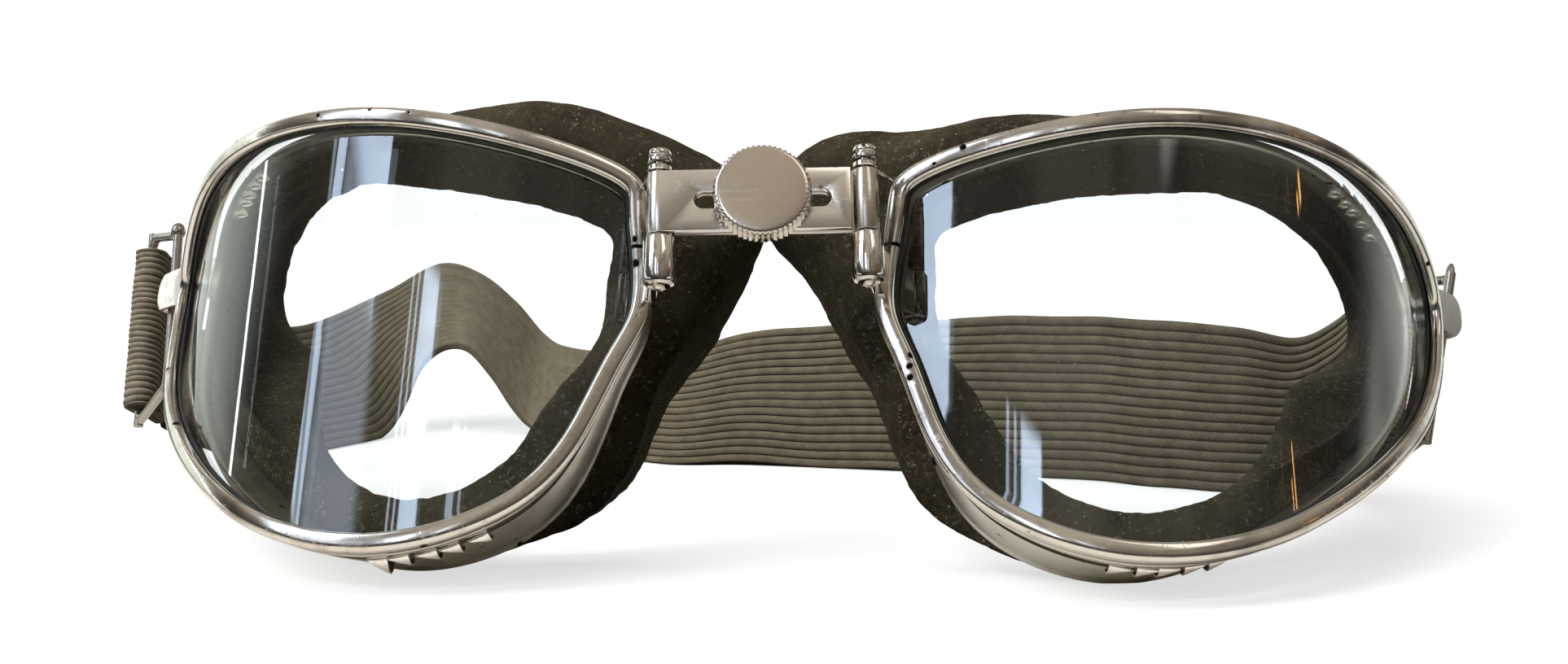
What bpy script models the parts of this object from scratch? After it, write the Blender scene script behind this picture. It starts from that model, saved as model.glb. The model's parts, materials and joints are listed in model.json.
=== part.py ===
"""Pilot goggles: two curved eyecups hinged on a slotted bridge, with face cushions and an elastic head strap.

Metres, +Z up. The goggles stand on a table, leaning back, with the front towards -Y and the strap behind.
Each eyecup is drawn in its own frame: u runs outward from the hinge axis, v up along it and w backward.
"""
import math

import bmesh
import bpy
import numpy as np
from mathutils import Matrix, Vector

# Gaps between pieces
GAP = 0.0003
PIN_CLEARANCE = 0.0002
OVERRUN = 0.002

# Stance on the table
LEAN_BACK = math.radians(22.5)
YAW_LEFT = math.radians(20.3)
YAW_RIGHT = math.radians(11.7)
BRIDGE_TILT = math.radians(-1.1)
HINGE_PLAY = math.radians(3.8)

# Eyecup outline
EYECUP_WIDTH = 0.0855
EYECUP_HEIGHT = 0.0575
NOSE_EDGE_U = 0.0028
TOP_EDGE_V = 0.0137
BOTTOM_EDGE_V = TOP_EDGE_V - EYECUP_HEIGHT
STATIONS = 56

# Curve of the lens: the depth grows with the square of the distance from the crown
LENS_RADIUS = 0.0412
CROWN_U = 0.0387
# how far the rim's nose edge lies behind the hinge axis
NOSE_EDGE_DEPTH = 0.0051409
CROWN_DEPTH = (CROWN_U - NOSE_EDGE_U) ** 2 / (2 * LENS_RADIUS) - NOSE_EDGE_DEPTH

# Each row is one point round the outline, from the temple over the brow to the nose and the cheek:
# place across and up, depth of the metal wall, depth of the cushion, bulge of the cushion, the
# distance of the eye opening from the middle and the turned-in lip, as shares of the sizes named below.
OUTLINE_SHARES = [
    (0.964, 0.588, 0.57, 0.85, -0.25, 0.82, 1.20),
    (1.004, 0.855, 0.57, 0.85, 0.00, 0.86, 0.35),
    (0.822, 0.992, 0.57, 0.85, 0.35, 0.93, 0.30),
    (0.506, 0.998, 0.57, 0.85, 0.40, 0.84, 0.35),
    (0.264, 0.960, 0.57, 0.88, 0.85, 0.80, 0.45),
    (0.054, 0.885, 0.57, 0.85, 0.95, 0.80, 0.45),
    (0.011, 0.772, 0.57, 0.80, 0.70, 0.78, 0.45),
    (0.000, 0.574, 0.57, 0.78, -0.10, 0.75, 0.40),
    (0.032, 0.405, 0.64, 0.70, -0.35, 0.72, 0.40),
    (0.109, 0.139, 0.90, 0.46, -0.40, 0.66, 0.40),
    (0.280, 0.002, 1.00, 0.38, -0.75, 0.67, 0.40),
    (0.451, 0.019, 1.00, 0.38, -0.75, 0.68, 0.40),
    (0.615, 0.127, 0.90, 0.46, -0.50, 0.69, 0.50),
    (0.816, 0.341, 0.66, 0.78, -0.30, 0.74, 1.05),
]
MIDDLE_SHARES = (0.458, 0.527)

# Front rim section: depths are measured back from the bead's crown
RIM_WALL = 0.0006
RIM_FACE = 0.0024
RIM_LIP_DEPTH = 0.0008
RIM_LIP_THICKNESS = 0.0004
RIM_SHOULDER = 0.0006
RIM_BELLY = 0.0018
RIM_CROWN = 0.0005
RIM_SWELL = 0.0002
RIM_DEPTH = 0.0042

# Lens and gasket
LENS_THICKNESS = 0.0020
# each ring of points on the glass, as a share of the way from the middle to the edge
LENS_RING_SHARES = [1, 0.9, 0.68, 0.45, 0.22]
GASKET_THICKNESS = 0.0006
GASKET_WIDTH = 0.0020

# Eyecup body
WALL_THICKNESS = 0.0006
WALL_DEPTH = 0.0172
WALL_TAPER_SHARE = 0.30
WALL_DRAFT_SHARE = 0.09
FLANGE_WIDTH = 0.0023
VENT_WIDTH = 0.0022
VENT_HEIGHT = 0.0017
VENT_PITCH = 0.0034
VENT_SET_BACK = 0.0022
# where each row of vents starts round the outline, and how many vents it has
VENT_ROW_SHARES = [(0.115, 5), (0.345, 4), (0.735, 5)]

# Face cushion
CUSHION_DEPTH = 0.0165
CUSHION_BULGE = 0.0090
CUSHION_LIP = 0.0080
CUSHION_SHOULDER = 0.0034
CUSHION_SWELL = 0.0008
# each cushion has stretched out of shape at one place: how far, and its place and reach round the outline
CUSHION_PULL_LEFT = 0.0016
CUSHION_PULL_RIGHT = 0.0052
PULL_PLACE_SHARES = {"left": 0.360, "right": 0.443}
PULL_REACH_SHARES = {"left": 0.040, "right": 0.022}
# how far the skirt stands off half way to the eye opening
SKIRT_SHARE = 0.04
DIAPHRAGM_DEPTH = 0.0140
DIAPHRAGM_THICKNESS = 0.0016

# Bridge and hinges
HINGE_SPACING = 0.0254
BRIDGE_HEIGHT = 0.0081
PLATE_THICKNESS = 0.0008
BARREL_RADIUS = 0.00155
# the front plate's face lies this share of the barrel's radius in front of the pins
PLATE_FRONT_SHARE = 0.96
SLOT_LENGTH = 0.0168
SLOT_HEIGHT = 0.0023
PIN_RADIUS = 0.0007
PIN_HEAD_RADIUS = 0.0015
PIN_HEAD_HEIGHT = 0.0021
PIN_TAIL = 0.0005
KNUCKLE_RADIUS = 0.0019
KNUCKLE_HEIGHT = 0.0063
LUG_RADIUS = 0.0015
LUG_HEIGHT = 0.0007
ARM_THICKNESS = 0.0010
RIM_SPLIT = 0.0005
ROUND_SIDES = 20

# Thumb nut and screw
NUT_RADIUS = 0.0060
NUT_THICKNESS = 0.0030
NUT_TEETH = 54
NUT_TOOTH_DEPTH = 0.00022
NUT_CHAMFER = 0.0003
NUT_DOME = 0.00015
NUT_FLOOR = 0.0008
SCREW_RADIUS = 0.00075
SCREW_DROP = 0.0001
SCREW_HEAD_RADIUS = 0.0026
SCREW_HEAD_HEIGHT = 0.0010
SCREW_SLOT_WIDTH = 0.0006
SCREW_SLOT_DEPTH = 0.0005
WASHER_RADIUS = 0.0030
WASHER_THICKNESS = 0.0005

# Strap hooks and loops
HOOK_WIDTH = 0.0060
HOOK_THICKNESS = 0.0007
HOOK_V = 0.0056
HOOK_BASE = 0.0028
HOOK_REACH_LEFT = 0.0136
HOOK_REACH_RIGHT = 0.0097
HOOK_BACK = 0.0026
HOOK_BORE_RADIUS = 0.0017
LOOP_WIRE_RADIUS = 0.00075
LOOP_DEPTH = 0.0110
LOOP_NEAR_HEIGHT = 0.0264
LOOP_FAR_HEIGHT = 0.0308
LOOP_CORNER = 0.0018
LOOP_SWING_LEFT = math.radians(33.5)
LOOP_SWING_RIGHT = math.radians(96)
LOOP_TILT_LEFT = math.radians(0)
LOOP_TILT_RIGHT = math.radians(13)
LOOP_DROP_LEFT = 0.0022
LOOP_DROP_RIGHT = 0.0062
WIRE_SIDES = 8

# Head strap
STRAP_WIDTH = 0.0280
STRAP_THICKNESS = 0.0015
STRAP_TAIL = 0.0090
STRAP_END_WIDTH = 0.0266
STRAP_SPREAD = 0.0018
STRAP_SPAN = HINGE_SPACING / 2 + EYECUP_WIDTH + STRAP_SPREAD
STRAP_REACH = 0.1500
STRAP_STATIONS = 84
# The strap's route from the left loop round to the right one: where its lower edge runs, across and back
# as shares of the span and the reach and up as a share of the width, then how far its top leans over
# and the compass heading it leans to, both in degrees, counted from the right towards the back.
STRAP_ROUTE_SHARES = [
    (-0.985, 0.585, 0.160, 8, 180),
    (-0.945, 0.640, 0.040, 22, 185),
    (-0.895, 0.700, 0.000, 33, 180),
    (-0.850, 0.760, 0.000, 36, 175),
    (-0.805, 0.835, 0.000, 33, 170),
    (-0.775, 0.905, 0.030, 30, 160),
    (-0.757, 0.965, 0.200, 36, 140),
    (-0.735, 1.000, 0.460, 47, 118),
    (-0.692, 1.010, 0.600, 53, 102),
    (-0.635, 0.995, 0.600, 58, 94),
    (-0.580, 0.975, 0.420, 60, 88),
    (-0.525, 0.940, 0.180, 60, 85),
    (-0.480, 0.905, 0.060, 58, 82),
    (-0.395, 0.815, 0.000, 54, 78),
    (-0.285, 0.705, 0.000, 50, 80),
    (-0.180, 0.640, 0.000, 47, 84),
    (-0.060, 0.637, 0.010, 38, 86),
    (0.060, 0.618, 0.000, 31, 84),
    (0.200, 0.590, 0.000, 26, 80),
    (0.360, 0.557, 0.000, 17, 80),
    (0.527, 0.520, 0.000, 12, 78),
    (0.640, 0.468, 0.000, 15, 74),
    (0.735, 0.432, 0.000, 22, 68),
    (0.815, 0.428, 0.010, 32, 63),
    (0.880, 0.440, 0.110, 33, 60),
    (0.922, 0.436, 0.240, 31, 58),
]

# Colours and finishes: base colour, metallic, roughness
FINISHES = {
    "plate_metal": ((0.62, 0.57, 0.50, 1.0), 1.0, 0.22),
    "satin_metal": ((0.56, 0.52, 0.46, 1.0), 1.0, 0.38),
    "clear_glass": ((0.80, 0.86, 0.86, 1.0), 0.0, 0.04),
    "black_rubber": ((0.02, 0.02, 0.02, 1.0), 0.0, 0.60),
    "brown_hide": ((0.065, 0.058, 0.040, 1.0), 0.0, 0.85),
    "grey_webbing": ((0.17, 0.15, 0.12, 1.0), 0.0, 0.90),
}


def remove_everything():
    """Empties the scene that the script runs in."""
    for item in list(bpy.data.objects):
        bpy.data.objects.remove(item, do_unlink=True)


def material(name, finish):
    """A Principled material with the finish's colour, metallic value and roughness."""
    colour, metallic, roughness = FINISHES[finish]
    made = bpy.data.materials.new(name)
    made.use_nodes = True
    shader = made.node_tree.nodes["Principled BSDF"]
    shader.inputs["Base Color"].default_value = colour
    shader.inputs["Metallic"].default_value = metallic
    shader.inputs["Roughness"].default_value = roughness
    made.diffuse_color = colour
    return made


def empty(name, parent=None, location=(0, 0, 0), rotation=(0, 0, 0)):
    """An empty that places what hangs on it."""
    made = bpy.data.objects.new(name, None)
    bpy.context.scene.collection.objects.link(made)
    made.parent = parent
    made.location = location
    made.rotation_euler = rotation
    return made


def mesh_object(name, vertices, faces, parent, finish=None, smooth=True):
    """A mesh object with its faces turned outward; without a finish it is a hidden helper."""
    mesh = bpy.data.meshes.new(name)
    mesh.from_pydata([tuple(v) for v in vertices], [], faces)
    work = bmesh.new()
    work.from_mesh(mesh)
    bmesh.ops.recalc_face_normals(work, faces=work.faces)
    work.to_mesh(mesh)
    work.free()
    made = bpy.data.objects.new(name, mesh)
    bpy.context.scene.collection.objects.link(made)
    made.parent = parent
    if finish is None:
        made.hide_render = True
        made.display_type = "WIRE"
        return made
    made.data.materials.append(material(name, finish))
    if smooth:
        mesh.shade_smooth()
        mesh.set_sharp_from_angle(angle=math.radians(35))
    return made


def boolean(target, helper, operation):
    """Adds an exact Boolean of the helper to the target."""
    modifier = target.modifiers.new(helper.name, "BOOLEAN")
    modifier.operation = operation
    modifier.solver = "EXACT"
    modifier.object = helper
    return modifier


def ring_faces(rings, points, closed=True):
    """Quads between successive rings of points; closed joins the last ring to the first."""
    faces = []
    for i in range(rings if closed else rings - 1):
        for j in range(points):
            a = i * points + j
            b = i * points + (j + 1) % points
            c = (i + 1) % rings * points + (j + 1) % points
            d = (i + 1) % rings * points + j
            faces.append((a, b, c, d))
    return faces


def capped_tube(rings, points):
    """Faces of an open tube of rings with a cap at each end."""
    faces = ring_faces(rings, points, closed=False)
    faces.append(tuple(range(points)))
    faces.append(tuple((rings - 1) * points + j for j in range(points)))
    return faces


def circle(radius, sides, turn=0.0):
    """Points of a circle round the origin."""
    step = math.tau / sides
    return [(radius * math.cos(turn + step * k), radius * math.sin(turn + step * k)) for k in range(sides)]


def turned(name, profile, parent, finish=None, sides=ROUND_SIDES, axis="Z"):
    """A solid turned round an axis from (radius, height) pairs; a zero radius closes an end."""
    vertices = []
    faces = []
    rows = []
    for radius, height in profile:
        start = len(vertices)
        ring = [(0.0, 0.0)] if radius == 0 else circle(radius, sides)
        vertices += [(x, y, height) for x, y in ring]
        rows.append(list(range(start, len(vertices))))
    for a, b in zip(rows, rows[1:]):
        for k in range(sides):
            m = (k + 1) % sides
            if len(a) == 1:
                faces.append((a[0], b[m], b[k]))
            elif len(b) == 1:
                faces.append((a[k], a[m], b[0]))
            else:
                faces.append((a[k], a[m], b[m], b[k]))
    if axis == "Y":
        vertices = [(x, z, -y) for x, y, z in vertices]
    return mesh_object(name, vertices, faces, parent, finish)


def box(name, low, high, parent, finish=None):
    """A box between two corners."""
    x = (low[0], high[0])
    y = (low[1], high[1])
    z = (low[2], high[2])
    square = [(0, 0), (1, 0), (1, 1), (0, 1)]
    vertices = [(x[i], y[j], z[k]) for k in (0, 1) for i, j in square]
    return mesh_object(name, vertices, capped_tube(2, 4), parent, finish, smooth=False)


def prism(name, outline, low, high, parent, finish=None, place=None):
    """An outline in the plane of u and w, drawn out along v from low to high."""
    vertices = [(u, w, v) for v in (low, high) for u, w in outline]
    if place:
        vertices = [place(p) for p in vertices]
    return mesh_object(name, vertices, capped_tube(2, len(outline)), parent, finish)


def strip_outline(path, thickness):
    """The outline of a strip of even thickness that follows a path in a plane."""
    points = np.array(path, float)
    run = np.gradient(points, axis=0)
    run /= np.linalg.norm(run, axis=1)[:, None]
    side = np.column_stack([-run[:, 1], run[:, 0]]) * thickness / 2
    return [tuple(p) for p in points + side] + [tuple(p) for p in (points - side)[::-1]]


def spline(rows, closed):
    """Fine samples of a cubic spline through rows."""
    rows = np.array(rows, float)
    knots = len(rows)
    if closed:
        system = np.eye(knots) * 4 + np.roll(np.eye(knots), 1, 0) + np.roll(np.eye(knots), -1, 0)
        right = 3 * (np.roll(rows, -1, 0) - np.roll(rows, 1, 0))
        slopes = np.linalg.solve(system, right)
        spans = knots
    else:
        slopes = np.gradient(rows, axis=0)
        spans = knots - 1
    fine = np.linspace(0, spans, spans * 40 + 1)
    index = np.minimum(fine.astype(int), spans - 1)
    t = (fine - index)[:, None]
    a = rows[index]
    b = rows[(index + 1) % knots]
    da = slopes[index]
    db = slopes[(index + 1) % knots]
    h = (1 - t) ** 2
    return (1 + 2 * t) * h * a + t * h * da + t**2 * (3 - 2 * t) * b + t**2 * (t - 1) * db


def even_steps(curve, count, columns, closed):
    """Points at even distances along a finely sampled curve, measured on its first columns."""
    step = np.linalg.norm(np.diff(curve[:, :columns], axis=0), axis=1)
    distance = np.concatenate([[0], np.cumsum(step)])
    wanted = np.linspace(0, distance[-1], count, endpoint=not closed)
    return np.column_stack([np.interp(wanted, distance, curve[:, k]) for k in range(curve.shape[1])])


class Outline:
    """The eyecup's outline with the frame that every section is drawn in."""

    def __init__(self):
        rows = []
        for across, up, wall, cushion, bulge, opening, lip in OUTLINE_SHARES:
            u = NOSE_EDGE_U + across * EYECUP_WIDTH
            v = BOTTOM_EDGE_V + up * EYECUP_HEIGHT
            pad = (cushion * CUSHION_DEPTH, bulge * CUSHION_BULGE, opening, lip * CUSHION_LIP)
            rows.append((u, v, wall * WALL_DEPTH) + pad)
        table = even_steps(spline(rows, True), STATIONS, 2, True)
        self.uv = table[:, :2]
        self.wall, self.cushion, self.bulge, self.opening, self.lip = table[:, 2:].T
        self.middle = np.array([
            NOSE_EDGE_U + MIDDLE_SHARES[0] * EYECUP_WIDTH,
            BOTTOM_EDGE_V + MIDDLE_SHARES[1] * EYECUP_HEIGHT,
        ])
        self.point = np.array([self.on_surface(u, v) for u, v in self.uv])
        self.front = np.array([self.normal(u) for u in self.uv[:, 0]])
        tangent = np.roll(self.point, -1, 0) - np.roll(self.point, 1, 0)
        tangent /= np.linalg.norm(tangent, axis=1)[:, None]
        self.out = np.cross(self.front, tangent)
        self.out /= np.linalg.norm(self.out, axis=1)[:, None]
        away = self.point - self.on_surface(*self.middle)
        flip = np.sign(np.sum(self.out * away, axis=1))
        self.out *= flip[:, None]
        self.point += RIM_CROWN * self.front + RIM_SWELL * self.out
        back = WALL_TAPER_SHARE * -self.front + (1 - WALL_TAPER_SHARE) * np.array([0.0, 1.0, 0.0])
        back -= WALL_DRAFT_SHARE * self.out
        self.back = back / np.linalg.norm(back, axis=1)[:, None]
        run = np.roll(self.uv, -1, 0) - np.roll(self.uv, 1, 0)
        run /= np.linalg.norm(run, axis=1)[:, None]
        self.aside = np.column_stack([-run[:, 1], run[:, 0]])
        self.aside *= np.sign(np.sum(self.aside * (self.uv - self.middle), axis=1))[:, None]

    @staticmethod
    def depth(u):
        return (u - CROWN_U) ** 2 / (2 * LENS_RADIUS) - CROWN_DEPTH

    @staticmethod
    def normal(u):
        n = np.array([(u - CROWN_U) / LENS_RADIUS, -1.0, 0.0])
        return n / np.linalg.norm(n)

    def on_surface(self, u, v):
        """A point of the lens's front surface, as (u, w, v), which is the eyecup's x, y and z."""
        return np.array([u, self.depth(u), v])

    def at(self, station, out, depth):
        """A point at a distance outward in the surface and a depth behind it."""
        shallow = np.minimum(depth, RIM_DEPTH + GAP)
        place = self.point[station] + out * self.out[station] - shallow * self.front[station]
        return place + (depth - shallow) * self.back[station]

    def beside(self, station, out, depth):
        """A point at a distance outward across the eyecup and a depth straight behind the outline."""
        u, v = self.uv[station] + out * self.aside[station]
        return np.array([u, self.depth(self.uv[station][0]) + depth, v])

    def inner(self, station, share, depth):
        """A point on the line from the middle to the outline, at a share of the way and a depth."""
        u, v = self.middle + share * (self.uv[station] - self.middle)
        return self.on_surface(u, v) + np.array([0.0, depth, 0.0])

    def near(self, v):
        """The station closest to a height on the temple's side."""
        side = self.uv[:, 0] > self.middle[0]
        return int(np.argmin(np.abs(self.uv[:, 1] - v) + np.where(side, 0, EYECUP_WIDTH)))

    def edge(self, v, out, depth, temple=False):
        """The place across and back where the nose's or the temple's side passes a height."""
        points = np.array([self.at(k, out, depth) for k in range(STATIONS)])
        right = self.uv[:, 0] > self.middle[0]
        chosen = points[right == temple]
        order = np.argsort(chosen[:, 2])
        return np.array([np.interp(v, chosen[order, 2], chosen[order, k]) for k in (0, 1)])


class Eyecup:
    """One eyecup's frame on its hinge; the left one is the right one mirrored."""

    def __init__(self, side, bridge, outline):
        self.side = side
        self.sign = -1 if side == "left" else 1
        yaw = -YAW_LEFT if side == "left" else YAW_RIGHT
        self.outline = outline
        place = (self.sign * HINGE_SPACING / 2, 0, 0)
        self.hinge = empty(f"hinge_{side}", bridge, place, (0, 0, yaw))
        self.frame = empty(f"eyecup_{side}", self.hinge, (0, 0, 0), (0, HINGE_PLAY, 0))
        left = side == "left"
        self.reach = HOOK_REACH_LEFT if left else HOOK_REACH_RIGHT
        self.swing = LOOP_SWING_LEFT if left else LOOP_SWING_RIGHT
        self.tilt = LOOP_TILT_LEFT if left else LOOP_TILT_RIGHT
        self.drop = LOOP_DROP_LEFT if left else LOOP_DROP_RIGHT
        self.pull = CUSHION_PULL_LEFT if left else CUSHION_PULL_RIGHT

    def mirrored(self, points):
        return [(self.sign * p[0], p[1], p[2]) for p in points]

    def name(self, piece):
        return f"{piece}_{self.side}"

    def swept(self, piece, sections, finish):
        """A closed ring through one section for each station."""
        points = [p for section in sections for p in section]
        faces = ring_faces(len(sections), len(sections[0]))
        return mesh_object(self.name(piece), self.mirrored(points), faces, self.frame, finish)

    def drawn(self, piece, outline, low, high, parent, finish=None):
        """A prism along v, mirrored with the eyecup."""
        return prism(self.name(piece), [(self.sign * u, w) for u, w in outline], low, high, parent, finish)


def gasket_depth():
    return RIM_LIP_DEPTH + RIM_LIP_THICKNESS + GAP


def lens_depth():
    return gasket_depth() + GASKET_THICKNESS + GAP


def front_rim(cup):
    """The plated channel with its split, its thin upper lug and its long lower barrel."""
    outline = cup.outline
    profile = [
        (-RIM_FACE, RIM_LIP_DEPTH),
        (-RIM_FACE * 0.66, 0),
        (-RIM_FACE * 0.30, 0),
        (-RIM_WALL / 4, RIM_SHOULDER),
        (0, RIM_BELLY),
        (-RIM_WALL / 4, RIM_DEPTH),
        (-RIM_WALL, RIM_DEPTH),
        (-RIM_WALL, RIM_LIP_DEPTH + RIM_LIP_THICKNESS),
        (-RIM_FACE, RIM_LIP_DEPTH + RIM_LIP_THICKNESS),
    ]
    sections = [[outline.at(k, out, depth) for out, depth in profile] for k in range(STATIONS)]
    rim = cup.swept("front_rim", sections, "plate_metal")
    half = BRIDGE_HEIGHT / 2
    knuckle_top = -half - GAP
    knuckle_low = knuckle_top - KNUCKLE_HEIGHT
    lug_low = half + GAP
    lug_top = lug_low + LUG_HEIGHT
    split = knuckle_top + GAP
    middle = outline.edge(split, -RIM_FACE / 2, RIM_DEPTH / 2)
    width = RIM_FACE + OVERRUN
    low = (cup.sign * middle[0] - width, middle[1] - width, split)
    high = (cup.sign * middle[0] + width, middle[1] + width, split + RIM_SPLIT)
    boolean(rim, box(cup.name("rim_split"), low, high, cup.frame), "DIFFERENCE")
    for piece, radius, low, high in (
        ("knuckle", KNUCKLE_RADIUS, knuckle_low, knuckle_top),
        ("lug", LUG_RADIUS, lug_low, lug_top),
    ):
        barrel = turned(cup.name(piece), [(0, low), (radius, low), (radius, high), (0, high)], cup.hinge)
        boolean(rim, barrel, "UNION")
        level = (low + high) / 2
        u, w = outline.edge(level, 0, RIM_DEPTH / 2)
        end = np.array([u + cup.sign * level * math.sin(HINGE_PLAY), w])
        arm = strip_outline([tuple(end * 0.17), tuple(end * 0.6), tuple(end)], ARM_THICKNESS)
        inset = GAP / 3
        boolean(rim, cup.drawn(f"{piece}_arm", arm, low + inset, high - inset, cup.hinge), "UNION")
    reach = knuckle_low - OVERRUN
    bore_radius = PIN_RADIUS + PIN_CLEARANCE
    top = lug_top + OVERRUN
    bore = turned(cup.name("pin_bore"), [(0, reach), (bore_radius, reach), (bore_radius, top), (0, top)], cup.hinge)
    boolean(rim, bore, "DIFFERENCE")
    return rim


def lens(cup):
    """The curved glass: two surfaces in rings round the middle, joined at the edge."""
    outline = cup.outline
    inset = RIM_WALL + GAP
    points = []
    for depth in (lens_depth(), lens_depth() + LENS_THICKNESS):
        for share in LENS_RING_SHARES:
            for k in range(STATIONS):
                edge = outline.at(k, -inset, RIM_CROWN)
                u, v = outline.middle + share * (edge[[0, 2]] - outline.middle)
                points.append(outline.on_surface(u, v) - (depth - RIM_CROWN) * outline.normal(u))
        u, v = outline.middle
        points.append(outline.on_surface(u, v) - (depth - RIM_CROWN) * outline.normal(u))
    faces = []
    rings = len(LENS_RING_SHARES)
    layer = rings * STATIONS + 1
    for start in (0, layer):
        for ring in range(rings - 1):
            for k in range(STATIONS):
                a = start + ring * STATIONS
                m = (k + 1) % STATIONS
                faces.append((a + k, a + m, a + STATIONS + m, a + STATIONS + k))
        last = start + (rings - 1) * STATIONS
        for k in range(STATIONS):
            faces.append((last + k, last + (k + 1) % STATIONS, start + layer - 1))
    for k in range(STATIONS):
        m = (k + 1) % STATIONS
        faces.append((k, m, layer + m, layer + k))
    return mesh_object(cup.name("lens"), cup.mirrored(points), faces, cup.frame, "clear_glass")


def lens_gasket(cup):
    """The thin black ring between the rim's lip and the glass."""
    front = gasket_depth()
    back = front + GASKET_THICKNESS
    outer = -RIM_WALL - GAP
    inner = outer - GASKET_WIDTH
    profile = [(outer, front), (outer, back), (inner, back), (inner, front)]
    sections = [[cup.outline.at(k, out, depth) for out, depth in profile] for k in range(STATIONS)]
    return cup.swept("lens_gasket", sections, "black_rubber")


def vent_cutter(cup, number, place, run, outward, back):
    """A triangular prism through the wall, its point towards the front."""
    half = VENT_WIDTH / 2
    corners = [place - run * half, place + run * half, place - back * VENT_HEIGHT]
    depth = WALL_THICKNESS * 2
    points = [c + outward * side * depth for side in (-1, 1) for c in corners]
    return mesh_object(cup.name(f"vent_{number}"), cup.mirrored(points), capped_tube(2, 3), cup.frame)


def eyecup_body(cup):
    """The metal wall behind the rim with its flange behind the glass and its rows of vents."""
    outline = cup.outline
    flange = max(lens_depth() + LENS_THICKNESS, RIM_DEPTH) + GAP
    sections = []
    for k in range(STATIONS):
        rear = outline.wall[k]
        profile = [
            (0, flange),
            (0, rear),
            (-WALL_THICKNESS, rear),
            (-WALL_THICKNESS, flange + WALL_THICKNESS),
            (-FLANGE_WIDTH, flange + WALL_THICKNESS),
            (-FLANGE_WIDTH, flange),
        ]
        sections.append([outline.at(k, out, depth) for out, depth in profile])
    wall = cup.swept("eyecup_body", sections, "plate_metal")
    step = np.linalg.norm(np.roll(outline.point, -1, 0) - outline.point, axis=1)
    distance = np.concatenate([[0], np.cumsum(step)])
    number = 0
    for start, count in VENT_ROW_SHARES:
        for turn in range(count):
            number += 1
            at = start * distance[-1] + turn * VENT_PITCH
            k = int(np.searchsorted(distance, at)) % STATIONS
            j = (k - 1) % STATIONS
            part = (at - distance[j]) / step[j]
            depth = RIM_DEPTH + GAP + VENT_SET_BACK + VENT_HEIGHT
            a = outline.at(j, 0, depth)
            b = outline.at(k, 0, depth)
            run = (b - a) / np.linalg.norm(b - a)
            back = outline.back[j]
            outward = np.cross(run, back)
            outward /= np.linalg.norm(outward)
            cutter = vent_cutter(cup, number, a + part * (b - a), run, outward, back)
            boolean(wall, cutter, "DIFFERENCE")
    return wall


def face_cushion(cup):
    """The soft pad: a swollen skirt behind the wall and a diaphragm in to the eye opening."""
    outline = cup.outline
    half = DIAPHRAGM_THICKNESS / 2
    sections = []
    for k in range(STATIONS):
        start = outline.wall[k] + GAP
        run = outline.cushion[k]
        away = (k / STATIONS - PULL_PLACE_SHARES[cup.side]) / PULL_REACH_SHARES[cup.side]
        bulge = outline.bulge[k] + cup.pull * math.exp(-away * away)
        lip = outline.lip[k]
        eye = outline.opening[k]
        floor = max(DIAPHRAGM_DEPTH, start + half)
        section = [
            outline.at(k, 0, start),
            outline.beside(k, bulge * 0.55 + CUSHION_SWELL / 2, start + run * 0.15),
            outline.beside(k, bulge * 0.90 + CUSHION_SWELL, start + run * 0.40),
            outline.beside(k, bulge + CUSHION_SWELL / 2, start + run * 0.70),
            outline.beside(k, bulge - lip * 0.15, start + run * 0.93),
            outline.beside(k, bulge - lip * 0.50, start + run),
            outline.beside(k, bulge - lip * 0.90, start + run * 0.93),
            outline.beside(k, bulge - lip, start + run * 0.74),
            outline.inner(k, (1 + eye) / 2 - SKIRT_SHARE, floor + half * 2.4),
            outline.inner(k, eye, floor + half),
            outline.inner(k, eye, floor - half),
            outline.at(k, -CUSHION_SHOULDER, start),
        ]
        sections.append(section)
    return cup.swept("face_cushion", sections, "brown_hide")


def hinge_pin(cup):
    """The pin through the lug, the bridge's barrel and the lower barrel, with its grooved head."""
    top = BRIDGE_HEIGHT / 2 + 2 * GAP + LUG_HEIGHT
    low = -BRIDGE_HEIGHT / 2 - GAP - KNUCKLE_HEIGHT - PIN_TAIL
    head = PIN_HEAD_HEIGHT
    profile = [
        (0, low),
        (PIN_RADIUS, low),
        (PIN_RADIUS, top),
        (PIN_HEAD_RADIUS, top),
        (PIN_HEAD_RADIUS, top + head * 0.30),
        (PIN_HEAD_RADIUS * 0.76, top + head * 0.38),
        (PIN_HEAD_RADIUS * 0.76, top + head * 0.46),
        (PIN_HEAD_RADIUS * 0.94, top + head * 0.52),
        (PIN_HEAD_RADIUS * 0.90, top + head * 0.74),
        (PIN_HEAD_RADIUS * 0.55, top + head * 0.94),
        (0, top + head),
    ]
    return turned(cup.name("hinge_pin"), profile, cup.hinge, "plate_metal", sides=16)


def hook_places(cup):
    """The wall's outer side at the hook and the middle of the loop's wire, in the plane of u and w."""
    station = cup.outline.near(HOOK_V)
    back = cup.outline.back[station][:2]
    outward = np.array([back[1], -back[0]])
    outward *= np.sign(outward[0])
    wall = cup.outline.edge(HOOK_V, 0, RIM_DEPTH + GAP, temple=True)
    levels = np.linspace(-HOOK_WIDTH / 2, HOOK_WIDTH / 2, 5) + HOOK_V
    depths = (RIM_DEPTH + GAP, RIM_DEPTH + GAP + HOOK_BASE)
    sides = [cup.outline.edge(v, 0, depth, temple=True) for v in levels for depth in depths]
    wall = wall + outward * max(0, *((side - wall) @ outward for side in sides))
    wire = wall + outward * cup.reach + back * HOOK_BACK
    return wall, back, outward, wire


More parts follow.
